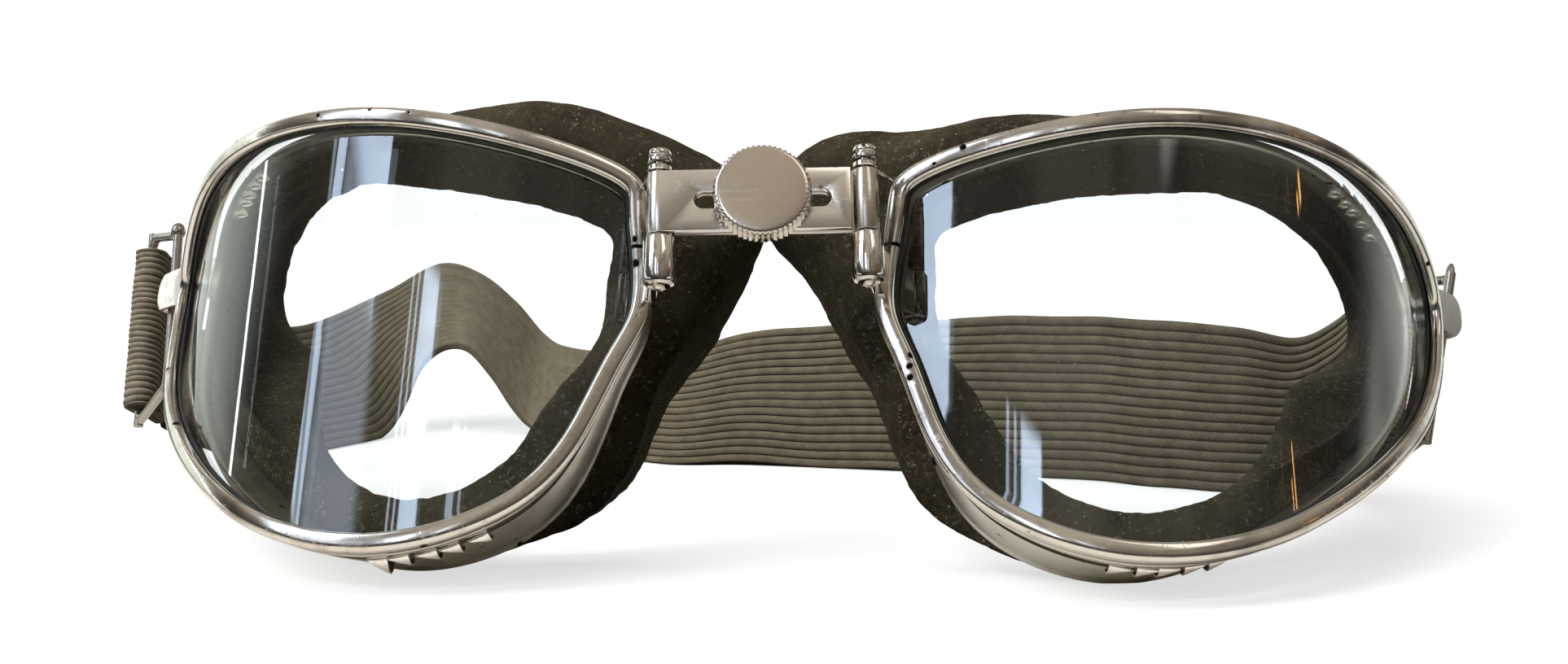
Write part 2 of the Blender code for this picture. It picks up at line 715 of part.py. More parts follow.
def strap_hook(cup):
    """A bent tab on the wall that passes in front of the loop's wire and curls back round it."""
    wall, back, outward, wire = hook_places(cup)
    offset = outward * (GAP + HOOK_THICKNESS / 2)
    base = wall + back * HOOK_THICKNESS
    path = [base + offset + back * HOOK_BASE, base + offset + back * HOOK_BASE / 2, base + offset]
    radius = HOOK_BORE_RADIUS + HOOK_THICKNESS / 2
    front = wire - back * radius
    corner = path[-1]
    for share in (0.30, 0.65):
        path.append(corner + (front - corner) * share - back * HOOK_THICKNESS / 2)
    for k in range(10):
        turn = math.radians(-90 + 26 * k)
        path.append(wire + radius * (math.cos(turn) * outward + math.sin(turn) * back))
    low = HOOK_V - HOOK_WIDTH / 2
    outline = strip_outline(path, HOOK_THICKNESS)
    return cup.drawn("strap_hook", outline, low, low + HOOK_WIDTH, cup.frame, "plate_metal")


def loop_axes(cup):
    """The loop's pivot, the way to its far leg, its upward axis and its normal, in the eyecup's frame."""
    _, _, _, wire = hook_places(cup)
    pivot = np.array([wire[0], wire[1], HOOK_V])
    ahead = np.array([math.cos(cup.swing), math.sin(cup.swing), 0.0])
    up = np.array([math.sin(cup.tilt), 0.0, math.cos(cup.tilt)])
    ahead -= up * ahead.dot(up)
    ahead /= np.linalg.norm(ahead)
    return pivot, ahead, up, np.cross(ahead, up)


def strap_loop(cup):
    """The bent wire ring, wider at the strap than at the hook, with round corners."""
    pivot, ahead, up, across = loop_axes(cup)
    near = LOOP_NEAR_HEIGHT / 2
    far = LOOP_FAR_HEIGHT / 2
    corners = [(0, near, 180, 90), (LOOP_DEPTH, far, 90, 0), (LOOP_DEPTH, -far, 0, -90), (0, -near, -90, -180)]
    path = []
    for reach, height, first, last in corners:
        inner = reach + (LOOP_CORNER if reach == 0 else -LOOP_CORNER)
        level = height - math.copysign(LOOP_CORNER, height)
        for k in range(5):
            turn = math.radians(first + (last - first) * k / 4)
            r = inner + LOOP_CORNER * math.cos(turn)
            v = level + LOOP_CORNER * math.sin(turn) - cup.drop
            path.append(pivot + ahead * r + up * v)
    path = np.array(path)
    run = np.roll(path, -1, 0) - np.roll(path, 1, 0)
    run /= np.linalg.norm(run, axis=1)[:, None]
    sections = []
    for place, along in zip(path, run):
        side = np.cross(across, along)
        ring = circle(LOOP_WIRE_RADIUS, WIRE_SIDES)
        sections.append([place + across * a + side * b for a, b in ring])
    return cup.swept("strap_loop", sections, "plate_metal")


def bridge_plate(name, sign, front, back, bridge):
    """A slotted plate rolled into a barrel round its hinge pin at one end."""
    hinge = sign * HINGE_SPACING / 2
    end = -sign * (HINGE_SPACING / 2 - BARREL_RADIUS - GAP)
    half = BRIDGE_HEIGHT / 2
    low = math.asin(front / BARREL_RADIUS)
    high = math.asin(back / BARREL_RADIUS)
    outline = [(end, front), (end, back)]
    for k in range(ROUND_SIDES + 1):
        turn = high + (math.tau - (high - low)) * k / ROUND_SIDES
        outline.append((hinge - sign * BARREL_RADIUS * math.cos(turn), BARREL_RADIUS * math.sin(turn)))
    plate = prism(name, outline, -half, half, bridge, "satin_metal")
    radius = PIN_RADIUS + PIN_CLEARANCE
    reach = half + OVERRUN
    barrel_place = empty(f"{name}_axis", bridge, (hinge, 0, 0))
    bore = turned(f"{name}_bore", [(0, -reach), (radius, -reach), (radius, reach), (0, reach)], barrel_place)
    boolean(plate, bore, "DIFFERENCE")
    straight = SLOT_LENGTH / 2 - SLOT_HEIGHT / 2
    ends = 8
    outline = []
    for side in (1, -1):
        for k in range(ends + 1):
            turn = math.pi * (k / ends - 0.5)
            x = side * (straight + SLOT_HEIGHT / 2 * math.cos(turn))
            outline.append((x, side * SLOT_HEIGHT / 2 * math.sin(turn)))
    points = [(x, y, z) for y in (front - OVERRUN, back + OVERRUN) for x, z in outline]
    slot = mesh_object(f"{name}_slot", points, capped_tube(2, len(outline)), bridge)
    boolean(plate, slot, "DIFFERENCE")
    return plate


def thumb_nut(clamp, back):
    """The knurled disc with a plain, slightly domed face and a blind threaded hole."""
    front = back - NUT_THICKNESS
    hole = SCREW_RADIUS + GAP
    sides = NUT_TEETH * 2
    rows = [
        (0, back - NUT_THICKNESS + NUT_FLOOR, 0),
        (hole, back - NUT_THICKNESS + NUT_FLOOR, 0),
        (hole, back, 0),
        (NUT_RADIUS - NUT_CHAMFER, back, 0),
        (NUT_RADIUS, back - NUT_CHAMFER, NUT_TOOTH_DEPTH),
        (NUT_RADIUS, front + NUT_CHAMFER, NUT_TOOTH_DEPTH),
        (NUT_RADIUS - NUT_CHAMFER * 2, front, 0),
        (0, front - NUT_DOME, 0),
    ]
    vertices = []
    layers = []
    for radius, y, tooth in rows:
        start = len(vertices)
        count = 1 if radius == 0 else sides
        for k in range(count):
            turn = math.tau * k / sides
            r = radius - (tooth if k % 2 else 0)
            vertices.append((r * math.cos(turn), y, r * math.sin(turn)))
        layers.append(list(range(start, len(vertices))))
    faces = []
    for a, b in zip(layers, layers[1:]):
        for k in range(sides):
            m = (k + 1) % sides
            if len(a) == 1:
                faces.append((a[0], b[k], b[m]))
            elif len(b) == 1:
                faces.append((a[k], a[m], b[0]))
            else:
                faces.append((a[k], a[m], b[m], b[k]))
    return mesh_object("thumb_nut", vertices, faces, clamp, "satin_metal")


def thumb_screw(clamp, seat, nut_back):
    """The screw through both slots, with a slotted head behind the plates."""
    tip = nut_back - NUT_THICKNESS + NUT_FLOOR + GAP
    rear = seat + SCREW_HEAD_HEIGHT
    chamfer = SCREW_HEAD_HEIGHT / 4
    profile = [
        (0, tip),
        (SCREW_RADIUS, tip),
        (SCREW_RADIUS, seat),
        (SCREW_HEAD_RADIUS, seat),
        (SCREW_HEAD_RADIUS, rear - chamfer),
        (SCREW_HEAD_RADIUS - chamfer, rear),
        (0, rear),
    ]
    screw = turned("thumb_screw", profile, clamp, "satin_metal", axis="Y")
    low = (-SCREW_HEAD_RADIUS - OVERRUN, rear - SCREW_SLOT_DEPTH, -SCREW_SLOT_WIDTH / 2)
    high = (SCREW_HEAD_RADIUS + OVERRUN, rear + OVERRUN, SCREW_SLOT_WIDTH / 2)
    boolean(screw, box("thumb_screw_slot", low, high, clamp), "DIFFERENCE")
    return screw


def washer(clamp, front):
    """The flat washer between the rear plate and the screw's head."""
    back = front + WASHER_THICKNESS
    hole = SCREW_RADIUS + GAP
    rows = [(hole, front), (WASHER_RADIUS, front), (WASHER_RADIUS, back), (hole, back)]
    sides = ROUND_SIDES
    vertices = []
    for radius, y in rows:
        vertices += [(x, y, z) for x, z in circle(radius, sides)]
    return mesh_object("washer", vertices, ring_faces(4, sides), clamp, "satin_metal")


def strap_end(cup, stand, toward):
    """The strap's end, folded round the loop's far leg and sewn back on itself."""
    pivot, ahead, up, _ = loop_axes(cup)
    place = pivot + ahead * LOOP_DEPTH - up * cup.drop
    to_stand = stand.matrix_world.inverted() @ cup.frame.matrix_world
    middle = to_stand @ Vector((cup.sign * place[0], place[1], place[2]))
    up = (to_stand.to_3x3() @ Vector((cup.sign * up[0], up[1], up[2]))).normalized()
    ahead = Vector(toward) - middle
    ahead = (ahead - ahead.dot(up) * up).normalized()
    side = up.cross(ahead)
    radius = LOOP_WIRE_RADIUS + GAP + STRAP_THICKNESS / 2
    layer = (STRAP_THICKNESS + GAP) / 2
    path = [(STRAP_TAIL, layer), (STRAP_TAIL * 0.66, layer), (STRAP_TAIL * 0.40, (layer + radius) / 2)]
    path += [(radius * math.cos(a), radius * math.sin(a)) for a in np.radians(np.arange(75, 290, 30))]
    path += [(STRAP_TAIL * 0.40, -(layer + radius) / 2), (STRAP_TAIL * 0.66, -layer), (STRAP_TAIL, -layer)]
    half = STRAP_END_WIDTH / 2
    outline = strip_outline(path, STRAP_THICKNESS)
    vertices = [middle + ahead * a + side * b + up * v for v in (-half, half) for a, b in outline]
    mesh_object(f"strap_end_{cup.side}", vertices, capped_tube(2, len(outline)), stand, "grey_webbing")
    return middle + ahead * (STRAP_TAIL + GAP), ahead, up


def head_strap(stand, left, right):
    """The elastic ribbon from one sewn end round to the other, standing on its lower edge."""
    width = STRAP_WIDTH
    rows = []
    for across, reach, lift, lean, heading in STRAP_ROUTE_SHARES:
        tilt = math.radians(lean)
        turn = math.radians(heading)
        place = (across * STRAP_SPAN, reach * STRAP_REACH, lift * width)
        rows.append(place + (math.sin(tilt) * math.cos(turn), math.sin(tilt) * math.sin(turn), math.cos(tilt)))
    ends = []
    for joint, ahead, up in (left, right):
        low = joint - up * width / 2
        ends.append([tuple(low) + tuple(up), tuple(low + ahead * STRAP_THICKNESS * 2) + tuple(up)])
    rows = ends[0] + rows + ends[1][::-1]
    route = even_steps(spline(rows, False), STRAP_STATIONS, 2, False)
    middle = route[:, :3] + route[:, 3:] * width / 2
    run = np.gradient(middle, axis=0)
    sections = []
    for k, (place, lean) in enumerate(zip(route[:, :3], route[:, 3:])):
        low = Vector(place)
        up = Vector(lean).normalized()
        side = up.cross(Vector(run[k])).normalized() * STRAP_THICKNESS / 2
        low.z = max(low.z, 0)
        section = []
        for level, turn in ((1, 1), (0.5, 1), (0, 1), (0, -1), (0.5, -1), (1, -1)):
            section.append(low + up * width * level + side * turn)
        sections.append([(p.x, p.y, max(p.z, 0)) for p in section])
    points = [p for section in sections for p in section]
    return mesh_object("head_strap", points, capped_tube(len(sections), 6), stand, "grey_webbing")


def lowest(objects):
    """The lowest world height of some objects as the viewport shows them."""
    graph = bpy.context.evaluated_depsgraph_get()
    heights = []
    for item in objects:
        shown = item.evaluated_get(graph)
        heights += [(shown.matrix_world @ v.co).z for v in shown.data.vertices]
    return min(heights)


def centre_on_table(stand):
    """Moves the whole model so that the middle of its box stands over the origin."""
    bpy.context.view_layer.update()
    graph = bpy.context.evaluated_depsgraph_get()
    corners = []
    for item in bpy.data.objects:
        if item.type == "MESH" and not item.hide_render:
            shown = item.evaluated_get(graph)
            corners += [shown.matrix_world @ v.co for v in shown.data.vertices]
    x = [c.x for c in corners]
    y = [c.y for c in corners]
    stand.location = (-(min(x) + max(x)) / 2, -(min(y) + max(y)) / 2, 0)
    bpy.context.view_layer.update()


def report_places(cups, bridge, stand):
    """Prints the joints' places and axes in the finished model."""
    for cup in cups:
        world = cup.hinge.matrix_world
        axis = world.to_3x3() @ Vector((0, 0, 1))
        print("hinge", cup.side, [round(c, 6) for c in world.translation], "axis", [round(c, 6) for c in axis])
        pivot, _, up, _ = loop_axes(cup)
        world = cup.frame.matrix_world
        hook = world @ Vector((cup.sign * pivot[0], pivot[1], pivot[2]))
        axis = world.to_3x3() @ Vector((cup.sign * up[0], up[1], up[2]))
        print("loop", cup.side, [round(c, 6) for c in hook], "axis", [round(c, 6) for c in axis])
    frame = bridge.matrix_world
    print("bridge", [round(c, 6) for c in frame.translation])
    print("slide axis", [round(c, 6) for c in frame.to_3x3() @ Vector((1, 0, 0))])
    print("nut axis", [round(c, 6) for c in frame.to_3x3() @ Vector((0, -1, 0))])
    print("stand", [round(c, 6) for c in stand.location])


def build():
    remove_everything()
    stand = empty("goggles")
    bridge = empty("bridge", stand, (0, 0, 0), (-LEAN_BACK, BRIDGE_TILT, 0))
    outline = Outline()
    cups = [Eyecup(side, bridge, outline) for side in ("left", "right")]
    standing = []
    for cup in cups:
        front_rim(cup)
        lens(cup)
        lens_gasket(cup)
        standing.append(eyecup_body(cup))
        standing.append(face_cushion(cup))
        hinge_pin(cup)
        strap_hook(cup)
        strap_loop(cup)
    front = -BARREL_RADIUS * PLATE_FRONT_SHARE
    middle = front + PLATE_THICKNESS
    rear = middle + GAP
    bridge_plate("bridge_plate_left", -1, front, middle, bridge)
    bridge_plate("bridge_plate_right", 1, rear, rear + PLATE_THICKNESS, bridge)
    nut_back = front - GAP
    washer_front = rear + PLATE_THICKNESS + GAP
    clamp = empty("clamp", bridge, (0, 0, -SCREW_DROP))
    thumb_nut(clamp, nut_back)
    thumb_screw(clamp, washer_front + WASHER_THICKNESS + GAP, nut_back)
    washer(clamp, washer_front)
    bpy.context.view_layer.update()
    bridge.location.z = -lowest(standing)
    bpy.context.view_layer.update()
    ends = []
    for cup, nearest in zip(cups, (STRAP_ROUTE_SHARES[0], STRAP_ROUTE_SHARES[-1])):
        across, reach, lift, _, _ = nearest
        toward = (across * STRAP_SPAN, reach * STRAP_REACH, (lift + 0.5) * STRAP_WIDTH)
        ends.append(strap_end(cup, stand, toward))
    head_strap(stand, *ends)
    centre_on_table(stand)
    report_places(cups, bridge, stand)


build()
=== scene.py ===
"""Looks of the pilot goggles: detailed metal, glass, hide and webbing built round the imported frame.

Metres, +Z up, the front towards -Y. Each eyecup is drawn in its own frame, as in the CAD:
u runs outward from the hinge axis, v up along it and w backward.
"""

import json
import math

import bmesh
import bpy
import numpy as np
from mathutils import Matrix, Vector, noise


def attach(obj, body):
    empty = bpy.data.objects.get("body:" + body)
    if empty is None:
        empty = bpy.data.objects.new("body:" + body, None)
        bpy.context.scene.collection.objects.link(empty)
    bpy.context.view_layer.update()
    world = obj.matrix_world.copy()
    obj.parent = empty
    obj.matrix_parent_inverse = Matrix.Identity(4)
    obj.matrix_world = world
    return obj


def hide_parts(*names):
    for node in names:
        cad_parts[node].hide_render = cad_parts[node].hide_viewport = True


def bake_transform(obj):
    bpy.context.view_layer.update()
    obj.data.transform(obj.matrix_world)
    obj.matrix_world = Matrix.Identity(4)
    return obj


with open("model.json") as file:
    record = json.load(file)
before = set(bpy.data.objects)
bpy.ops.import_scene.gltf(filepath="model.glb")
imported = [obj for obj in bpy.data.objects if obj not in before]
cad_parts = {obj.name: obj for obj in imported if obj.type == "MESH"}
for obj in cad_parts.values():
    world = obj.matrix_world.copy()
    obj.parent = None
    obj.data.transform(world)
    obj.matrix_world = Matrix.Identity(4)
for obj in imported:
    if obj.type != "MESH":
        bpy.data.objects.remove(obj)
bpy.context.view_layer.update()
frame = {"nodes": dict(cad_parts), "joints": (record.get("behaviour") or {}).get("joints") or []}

# Eyecup outline and stance, as in the CAD
HINGE_SPACING = 0.0254
YAW = {"left": math.radians(-20.3), "right": math.radians(11.7)}
HINGE_PLAY = math.radians(3.8)
EYECUP_WIDTH = 0.0855
EYECUP_HEIGHT = 0.0575
NOSE_EDGE_U = 0.0028
BOTTOM_EDGE_V = -0.0438
LENS_RADIUS = 0.0412
CROWN_U = 0.0387
CROWN_DEPTH = 0.0105
STATIONS = 336

# Each row is one point round the outline, from the temple over the brow to the nose and the cheek:
# place across and up, depth of the metal wall, depth of the cushion, bulge of the cushion, the
# distance of the eye opening from the middle and the turned-in lip, as shares of the sizes named.
OUTLINE_SHARES = [
    (0.964, 0.588, 0.57, 0.85, -0.25, 0.82, 1.20),
    (1.004, 0.855, 0.57, 0.85, 0.00, 0.86, 0.35),
    (0.822, 0.992, 0.57, 0.85, 0.35, 0.93, 0.30),
    (0.506, 0.998, 0.57, 0.85, 0.40, 0.84, 0.35),
    (0.264, 0.960, 0.57, 0.88, 0.85, 0.80, 0.45),
    (0.054, 0.885, 0.57, 0.85, 0.95, 0.80, 0.45),
    (0.011, 0.772, 0.57, 0.80, 0.70, 0.78, 0.45),
    (0.000, 0.574, 0.57, 0.78, -0.10, 0.75, 0.40),
    (0.032, 0.405, 0.64, 0.70, -0.35, 0.72, 0.40),
    (0.109, 0.139, 0.90, 0.46, -0.40, 0.66, 0.40),
    (0.280, 0.002, 1.00, 0.38, -0.75, 0.67, 0.40),
    (0.451, 0.019, 1.00, 0.38, -0.75, 0.68, 0.40),
    (0.615, 0.127, 0.90, 0.46, -0.50, 0.69, 0.50),
    (0.816, 0.341, 0.66, 0.78, -0.30, 0.74, 1.05),
]
MIDDLE_SHARES = (0.458, 0.527)

RIM_CROWN = 0.0005
RIM_SWELL = 0.0002
RIM_DEPTH = 0.0042
RIM_WALL = 0.0006
RIM_SPLIT_WIDTH = 0.0044
RIM_SPLIT_HEIGHT = 0.0005
GAP = 0.0003
WALL_DEPTH = 0.0172
WALL_TAPER_SHARE = 0.30
WALL_DRAFT_SHARE = 0.09
WALL_FLANGE = 0.0047
VENT_PITCH = 0.0034
# Per row of vents, from the temple: its start as a share of the way round and its count
VENT_ROW_SHARES = {"left": [(0.134, 5), (0.345, 4), (0.659, 5)], "right": [(0.128, 5), (0.345, 4), (0.705, 5)]}
VENT_DEPTH = [0.0054, 0.0060, 0.0056]
LOUVRE_LENGTH = [0.0031, 0.0016, 0.0020]
LOUVRE_RISE = {"left": [0.00150, 0.00085, 0.00120], "right": [0.00150, 0.00085, 0.00085]}
LAST_LOUVRE_RISE = 0.00190
LOUVRE_THICKNESS = 0.00020
LOUVRE_STEPS = 5
CUSHION_DEPTH = 0.0165
CUSHION_BULGE = 0.0090
CUSHION_LIP = 0.0080
CUSHION_SHOULDER = 0.0034
CUSHION_SWELL = 0.0008
CUSHION_PULL = {"left": 0.0016, "right": 0.0052}
PULL_PLACE_SHARES = {"left": 0.360, "right": 0.443}
PULL_REACH_SHARES = {"left": 0.040, "right": 0.022}
DIAPHRAGM_DEPTH = 0.0140
DIAPHRAGM_THICKNESS = 0.0016
GLASS_DEPTH = 0.0024
GLASS_THICKNESS = 0.0020
GLASS_RINGS = 14

BRIDGE_HEIGHT = 0.0081
PLATE_THICKNESS = 0.0008
BARREL_RADIUS = 0.00155
PLATE_FRONT_SHARE = 0.96
SLOT_LENGTH = 0.0168
SLOT_HEIGHT = 0.0023
PIN_RADIUS = 0.0007
PIN_HEAD_RADIUS = 0.0015
PIN_HEAD_HEIGHT = 0.0021
PIN_SLOT_TURN = {"left": math.radians(68), "right": math.radians(84)}
BORE_PLAY = 0.0002
KNUCKLE_RADIUS = 0.0019
KNUCKLE_HEIGHT = 0.0063
LUG_RADIUS = 0.0015
LUG_HEIGHT = 0.0007
ARM_THICKNESS = 0.0010
NUT_RADIUS = 0.0060
NUT_THICKNESS = 0.0030
NUT_TEETH = 54
NUT_TOOTH_DEPTH = 0.00030
SCREW_DROP = 0.0001

HOOK_WIDTH = 0.0060
HOOK_THICKNESS = 0.0007
HOOK_V = 0.0056
HOOK_BASE = 0.0028
HOOK_REACH = {"left": 0.0136, "right": 0.0097}
HOOK_BACK = 0.0026
HOOK_BORE_RADIUS = 0.0017
LOOP_WIRE_RADIUS = 0.00075
LOOP_DEPTH = 0.0110
LOOP_NEAR_HEIGHT = 0.0264
LOOP_FAR_HEIGHT = 0.0308
LOOP_CORNER = 0.0018
BEAD_RADIUS = 0.00115
BEAD_SHAPE = {"left": (1.0, 1.25), "right": (0.62, 1.9)}
LOOP_SWING = {"left": math.radians(29), "right": math.radians(96)}
LOOP_TILT = {"left": math.radians(5.5), "right": math.radians(13)}
LOOP_DROP = {"left": 0.0022, "right": 0.0062}

STRAP_WIDTH = 0.0280
STRAP_THICKNESS = 0.0015
STRAP_TAIL = 0.0090
STRAP_END_WIDTH = 0.0266
STRAP_SPAN = 0.1000
STRAP_REACH = 0.1500
STRAP_STATIONS = 420
STRAP_RIBS = 17
END_STATIONS = 60
END_RIBS = 27
RIB_DEPTH = 0.00034
RIB_LEVELS = 6
HUMP_SHARE = 0.31
SLIDE_SHARE = 0.80
PLAIN_PLACES = (0.285, 0.315, 0.44, 0.53)
PLAIN_SHARE = 0.88
# Each row is one point of the strap's low edge: place across, back and up as shares of the sizes
# named, then its lean from upright and the way it leans, in degrees.
STRAP_ROUTE_SHARES = [
    (-0.985, 0.585, 0.160, 8, 180),
    (-0.945, 0.640, 0.040, 22, 185),
    (-0.895, 0.700, 0.000, 33, 180),
    (-0.850, 0.760, 0.000, 36, 175),
    (-0.805, 0.835, 0.000, 37, 170),
    (-0.775, 0.905, 0.030, 39, 160),
    (-0.757, 0.965, 0.200, 49, 140),
    (-0.735, 1.000, 0.460, 57, 118),
    (-0.692, 1.010, 0.600, 53, 102),
    (-0.635, 0.995, 0.600, 58, 94),
    (-0.580, 0.975, 0.420, 60, 88),
    (-0.525, 0.940, 0.180, 60, 85),
    (-0.480, 0.905, 0.060, 58, 82),
    (-0.395, 0.815, 0.000, 54, 78),
    (-0.285, 0.705, 0.000, 50, 80),
    (-0.180, 0.640, 0.000, 47, 84),
    (-0.060, 0.637, 0.010, 38, 86),
    (0.060, 0.618, 0.000, 31, 84),
    (0.200, 0.590, 0.000, 26, 80),
    (0.360, 0.557, 0.000, 17, 80),
    (0.527, 0.520, 0.000, 12, 78),
    (0.640, 0.468, 0.000, 15, 74),
    (0.735, 0.432, 0.000, 22, 68),
    (0.815, 0.428, 0.010, 32, 63),
    (0.880, 0.440, 0.110, 33, 60),
    (0.922, 0.436, 0.240, 31, 58),
]


# Frames

def joint(name):
    """A joint of the record by name."""
    return next(j for j in frame["joints"] if j["name"] == name)


def bridge_frame():
    """The bridge's frame: x along the slots, z along the hinge axes, its origin between the hinges."""
    left = Vector(joint("left_hinge")["pos_m"])
    right = Vector(joint("right_hinge")["pos_m"])
    x = Vector(joint("bridge_width")["axis"]).normalized()
    z = Vector(joint("left_hinge")["axis"]).normalized()
    y = z.cross(x).normalized()
    z = x.cross(y)
    turn = Matrix((x, y, z)).transposed().to_4x4()
    return Matrix.Translation((left + right) / 2) @ turn


BRIDGE = bridge_frame()
STAND = Vector((BRIDGE.translation.x, BRIDGE.translation.y, 0))


# Materials

class Nodes:
    """Adds nodes to a tree. The methods that work something out give back its output socket."""

    def __init__(self, tree):
        self.tree = tree

    def node(self, kind, inputs=None, **values):
        made = self.tree.nodes.new("ShaderNode" + kind)
        for key, value in values.items():
            setattr(made, key, value)
        for key, value in (inputs or {}).items():
            self.put(made.inputs[key], value)
        return made

    def put(self, target, value):
        """Links a socket, or sets a number or a colour."""
        if isinstance(value, bpy.types.NodeSocket):
            self.tree.links.new(value, target)
        else:
            target.default_value = (*value, 1) if target.type == "RGBA" else value

    def math(self, operation, a, b=0.0):
        return self.node("Math", {0: a, 1: b}, operation=operation).outputs["Value"]

    def times(self, a, b):
        return self.math("MULTIPLY", a, b)

    def plus(self, a, b):
        return self.math("ADD", a, b)

    def minus(self, a, b):
        return self.math("SUBTRACT", a, b)

    def mix(self, share, a, b):
        return self.node("Mix", {"Factor": share, "A": a, "B": b}, data_type="RGBA").outputs["Result"]

    def ramp(self, value, low, high, start=0.0, end=1.0, shape="SMOOTHSTEP"):
        """Maps low..high to start..end, held at both ends."""
        ends = {"From Min": low, "From Max": high, "To Min": start, "To Max": end, "Value": value}
        return self.node("MapRange", ends, interpolation_type=shape).outputs["Result"]


class Paint(Nodes):
    """A material whose pattern runs in the piece's own coordinates, in metres, or in its strap map."""

    def __init__(self, name, colour, metallic=0.0, roughness=0.5, strap_map=False):
        self.material = bpy.data.materials.new(name)
        self.material.use_nodes = True
        super().__init__(self.material.node_tree)
        self.shader = self.tree.nodes["Principled BSDF"]
        self.surface({"Base Color": colour, "Metallic": metallic, "Roughness": roughness})
        self.material.diffuse_color = (*colour, 1)
        self.place = self.node("TexCoord").outputs["UV" if strap_map else "Object"]

    def surface(self, inputs):
        for key, value in inputs.items():
            self.put(self.shader.inputs[key], value)

    def mapped(self, **inputs):
        return self.node("Mapping", {**inputs, "Vector": self.place}).outputs["Vector"]

    def noise(self, scale, detail=4, rough=0.55, place=None, distortion=0.0):
        inputs = {"Scale": scale, "Detail": detail, "Roughness": rough, "Distortion": distortion}
        return self.node("TexNoise", {**inputs, "Vector": place or self.place}).outputs["Fac"]

    def cells(self, scale):
        """Scattered cells: the distance to each one's middle, and its random red and green."""
        made = self.node("TexVoronoi", {"Scale": scale, "Randomness": 1.0, "Vector": self.place}, feature="F1")
        random = self.node("SeparateColor", {"Color": made.outputs["Color"]})
        return made.outputs["Distance"], random.outputs

    def bump(self, height, strength, distance, after=None):
        inputs = {"Strength": strength, "Distance": distance, "Height": height}
        if after is not None:
            inputs["Normal"] = after
        return self.node("Bump", inputs).outputs["Normal"]


def worn_metal(name, clean, stain, rough, haze, pitting, relief, tarnish=0.0):
    """Old nickel plate: cloudy stains, brown-rimmed pits, fine scratches and softly rippled sheet."""
    p = Paint(name, clean, metallic=1.0, roughness=rough)
    cloud = p.ramp(p.noise(260, detail=6, rough=0.62), 0.50, 0.74)
    speckle = p.times(p.ramp(p.noise(1500, detail=3), 0.60, 0.76), 0.5)
    region = p.ramp(p.noise(95, detail=2), 0.44, 0.66)
    dirt = p.times(p.math("MAXIMUM", cloud, speckle), haze)
    distance, random = p.cells(560)
    reach = p.times(p.times(region, 0.30 * pitting), p.ramp(random["Red"], 0.60, 0.95))
    pitted = p.math("GREATER_THAN", reach, 0.04)
    past = p.minus(distance, reach)
    pit = p.times(p.ramp(past, -0.05, 0.03, 1.0, 0.0), pitted)
    halo = p.times(p.ramp(past, 0.0, 0.16, 1.0, 0.0), pitted)
    base = p.mix(dirt, clean, stain)
    if tarnish:
        patch = p.times(p.ramp(p.noise(42, detail=4, rough=0.6), 0.50, 0.66), tarnish)
        base = p.mix(patch, base, tuple(c * 0.42 for c in stain))
    base = p.mix(p.times(halo, 0.55), base, (0.20, 0.13, 0.075))
    base = p.mix(pit, base, (0.012, 0.010, 0.008))
    scratches = []
    for scale, turn, least in (((1, 0.09, 1), (0.4, 0.2, 0.9), 0.62), ((0.07, 1, 1), (0.1, 0.8, 0.3), 0.63)):
        place = p.mapped(Scale=scale, Rotation=turn)
        scratches.append(p.ramp(p.noise(900, detail=2, place=place), least, 0.70))
    fine = p.math("MAXIMUM", *scratches)
    dull = p.plus(p.plus(p.times(dirt, 0.22), p.times(fine, 0.10)), p.times(pit, 0.5))
    ripple = p.bump(p.noise(110, detail=1), 0.08 * relief, 0.0006)
    dents = p.bump(p.minus(p.times(fine, 0.10), pit), 0.6 * relief, 0.00008, ripple)
    p.surface({"Base Color": base, "Roughness": p.plus(dull, rough), "Normal": dents})
    return p.material


def hide(name):
    """Matted brown-olive pad: blotches, darker worn patches and pale short fibres."""
    p = Paint(name, (0.060, 0.054, 0.038), roughness=0.85)
    blotch = p.noise(110, detail=5, rough=0.6)
    grain = p.noise(1300, detail=4, rough=0.7)
    fibres = None
    for number, scale in enumerate((900, 1250, 1700)):
        place = p.mapped(Location=(0.013 * (number + 1), 0.027 * (number + 1), 0.041))
        curl = p.noise(scale, detail=1, place=place, distortion=0.8)
        line = p.ramp(p.math("ABSOLUTE", p.minus(curl, 0.5)), 0.008, 0.036, 1.0, 0.0)
        place = p.mapped(Location=(0.05, 0.02 * number, 0.09))
        strand = p.times(line, p.ramp(p.noise(scale * 0.9, detail=2, place=place), 0.56, 0.61))
        fibres = strand if fibres is None else p.math("MAXIMUM", fibres, strand)
    fibres = p.times(fibres, p.ramp(p.noise(240, detail=3), 0.38, 0.62, 0.15, 1.0))
    base = p.mix(p.ramp(blotch, 0.36, 0.66), (0.021, 0.0160, 0.0088), (0.056, 0.0455, 0.0270))
    base = p.mix(p.ramp(grain, 0.35, 0.75, 0.0, 0.45), base, (0.088, 0.072, 0.044))
    base = p.mix(p.times(fibres, 0.85), base, (0.22, 0.20, 0.14))
    distance, random = p.cells(1350)
    dust = p.times(p.ramp(distance, 0.10, 0.22, 1.0, 0.0), p.math("GREATER_THAN", random["Green"], 0.86))
    base = p.mix(p.times(dust, 0.75), base, (0.42, 0.39, 0.31))
    height = p.plus(p.times(grain, 0.7), p.times(fibres, 0.6))
    p.surface({"Base Color": base, "Normal": p.bump(height, 0.55, 0.00035), "Specular IOR Level": 0.06})
    return p.material


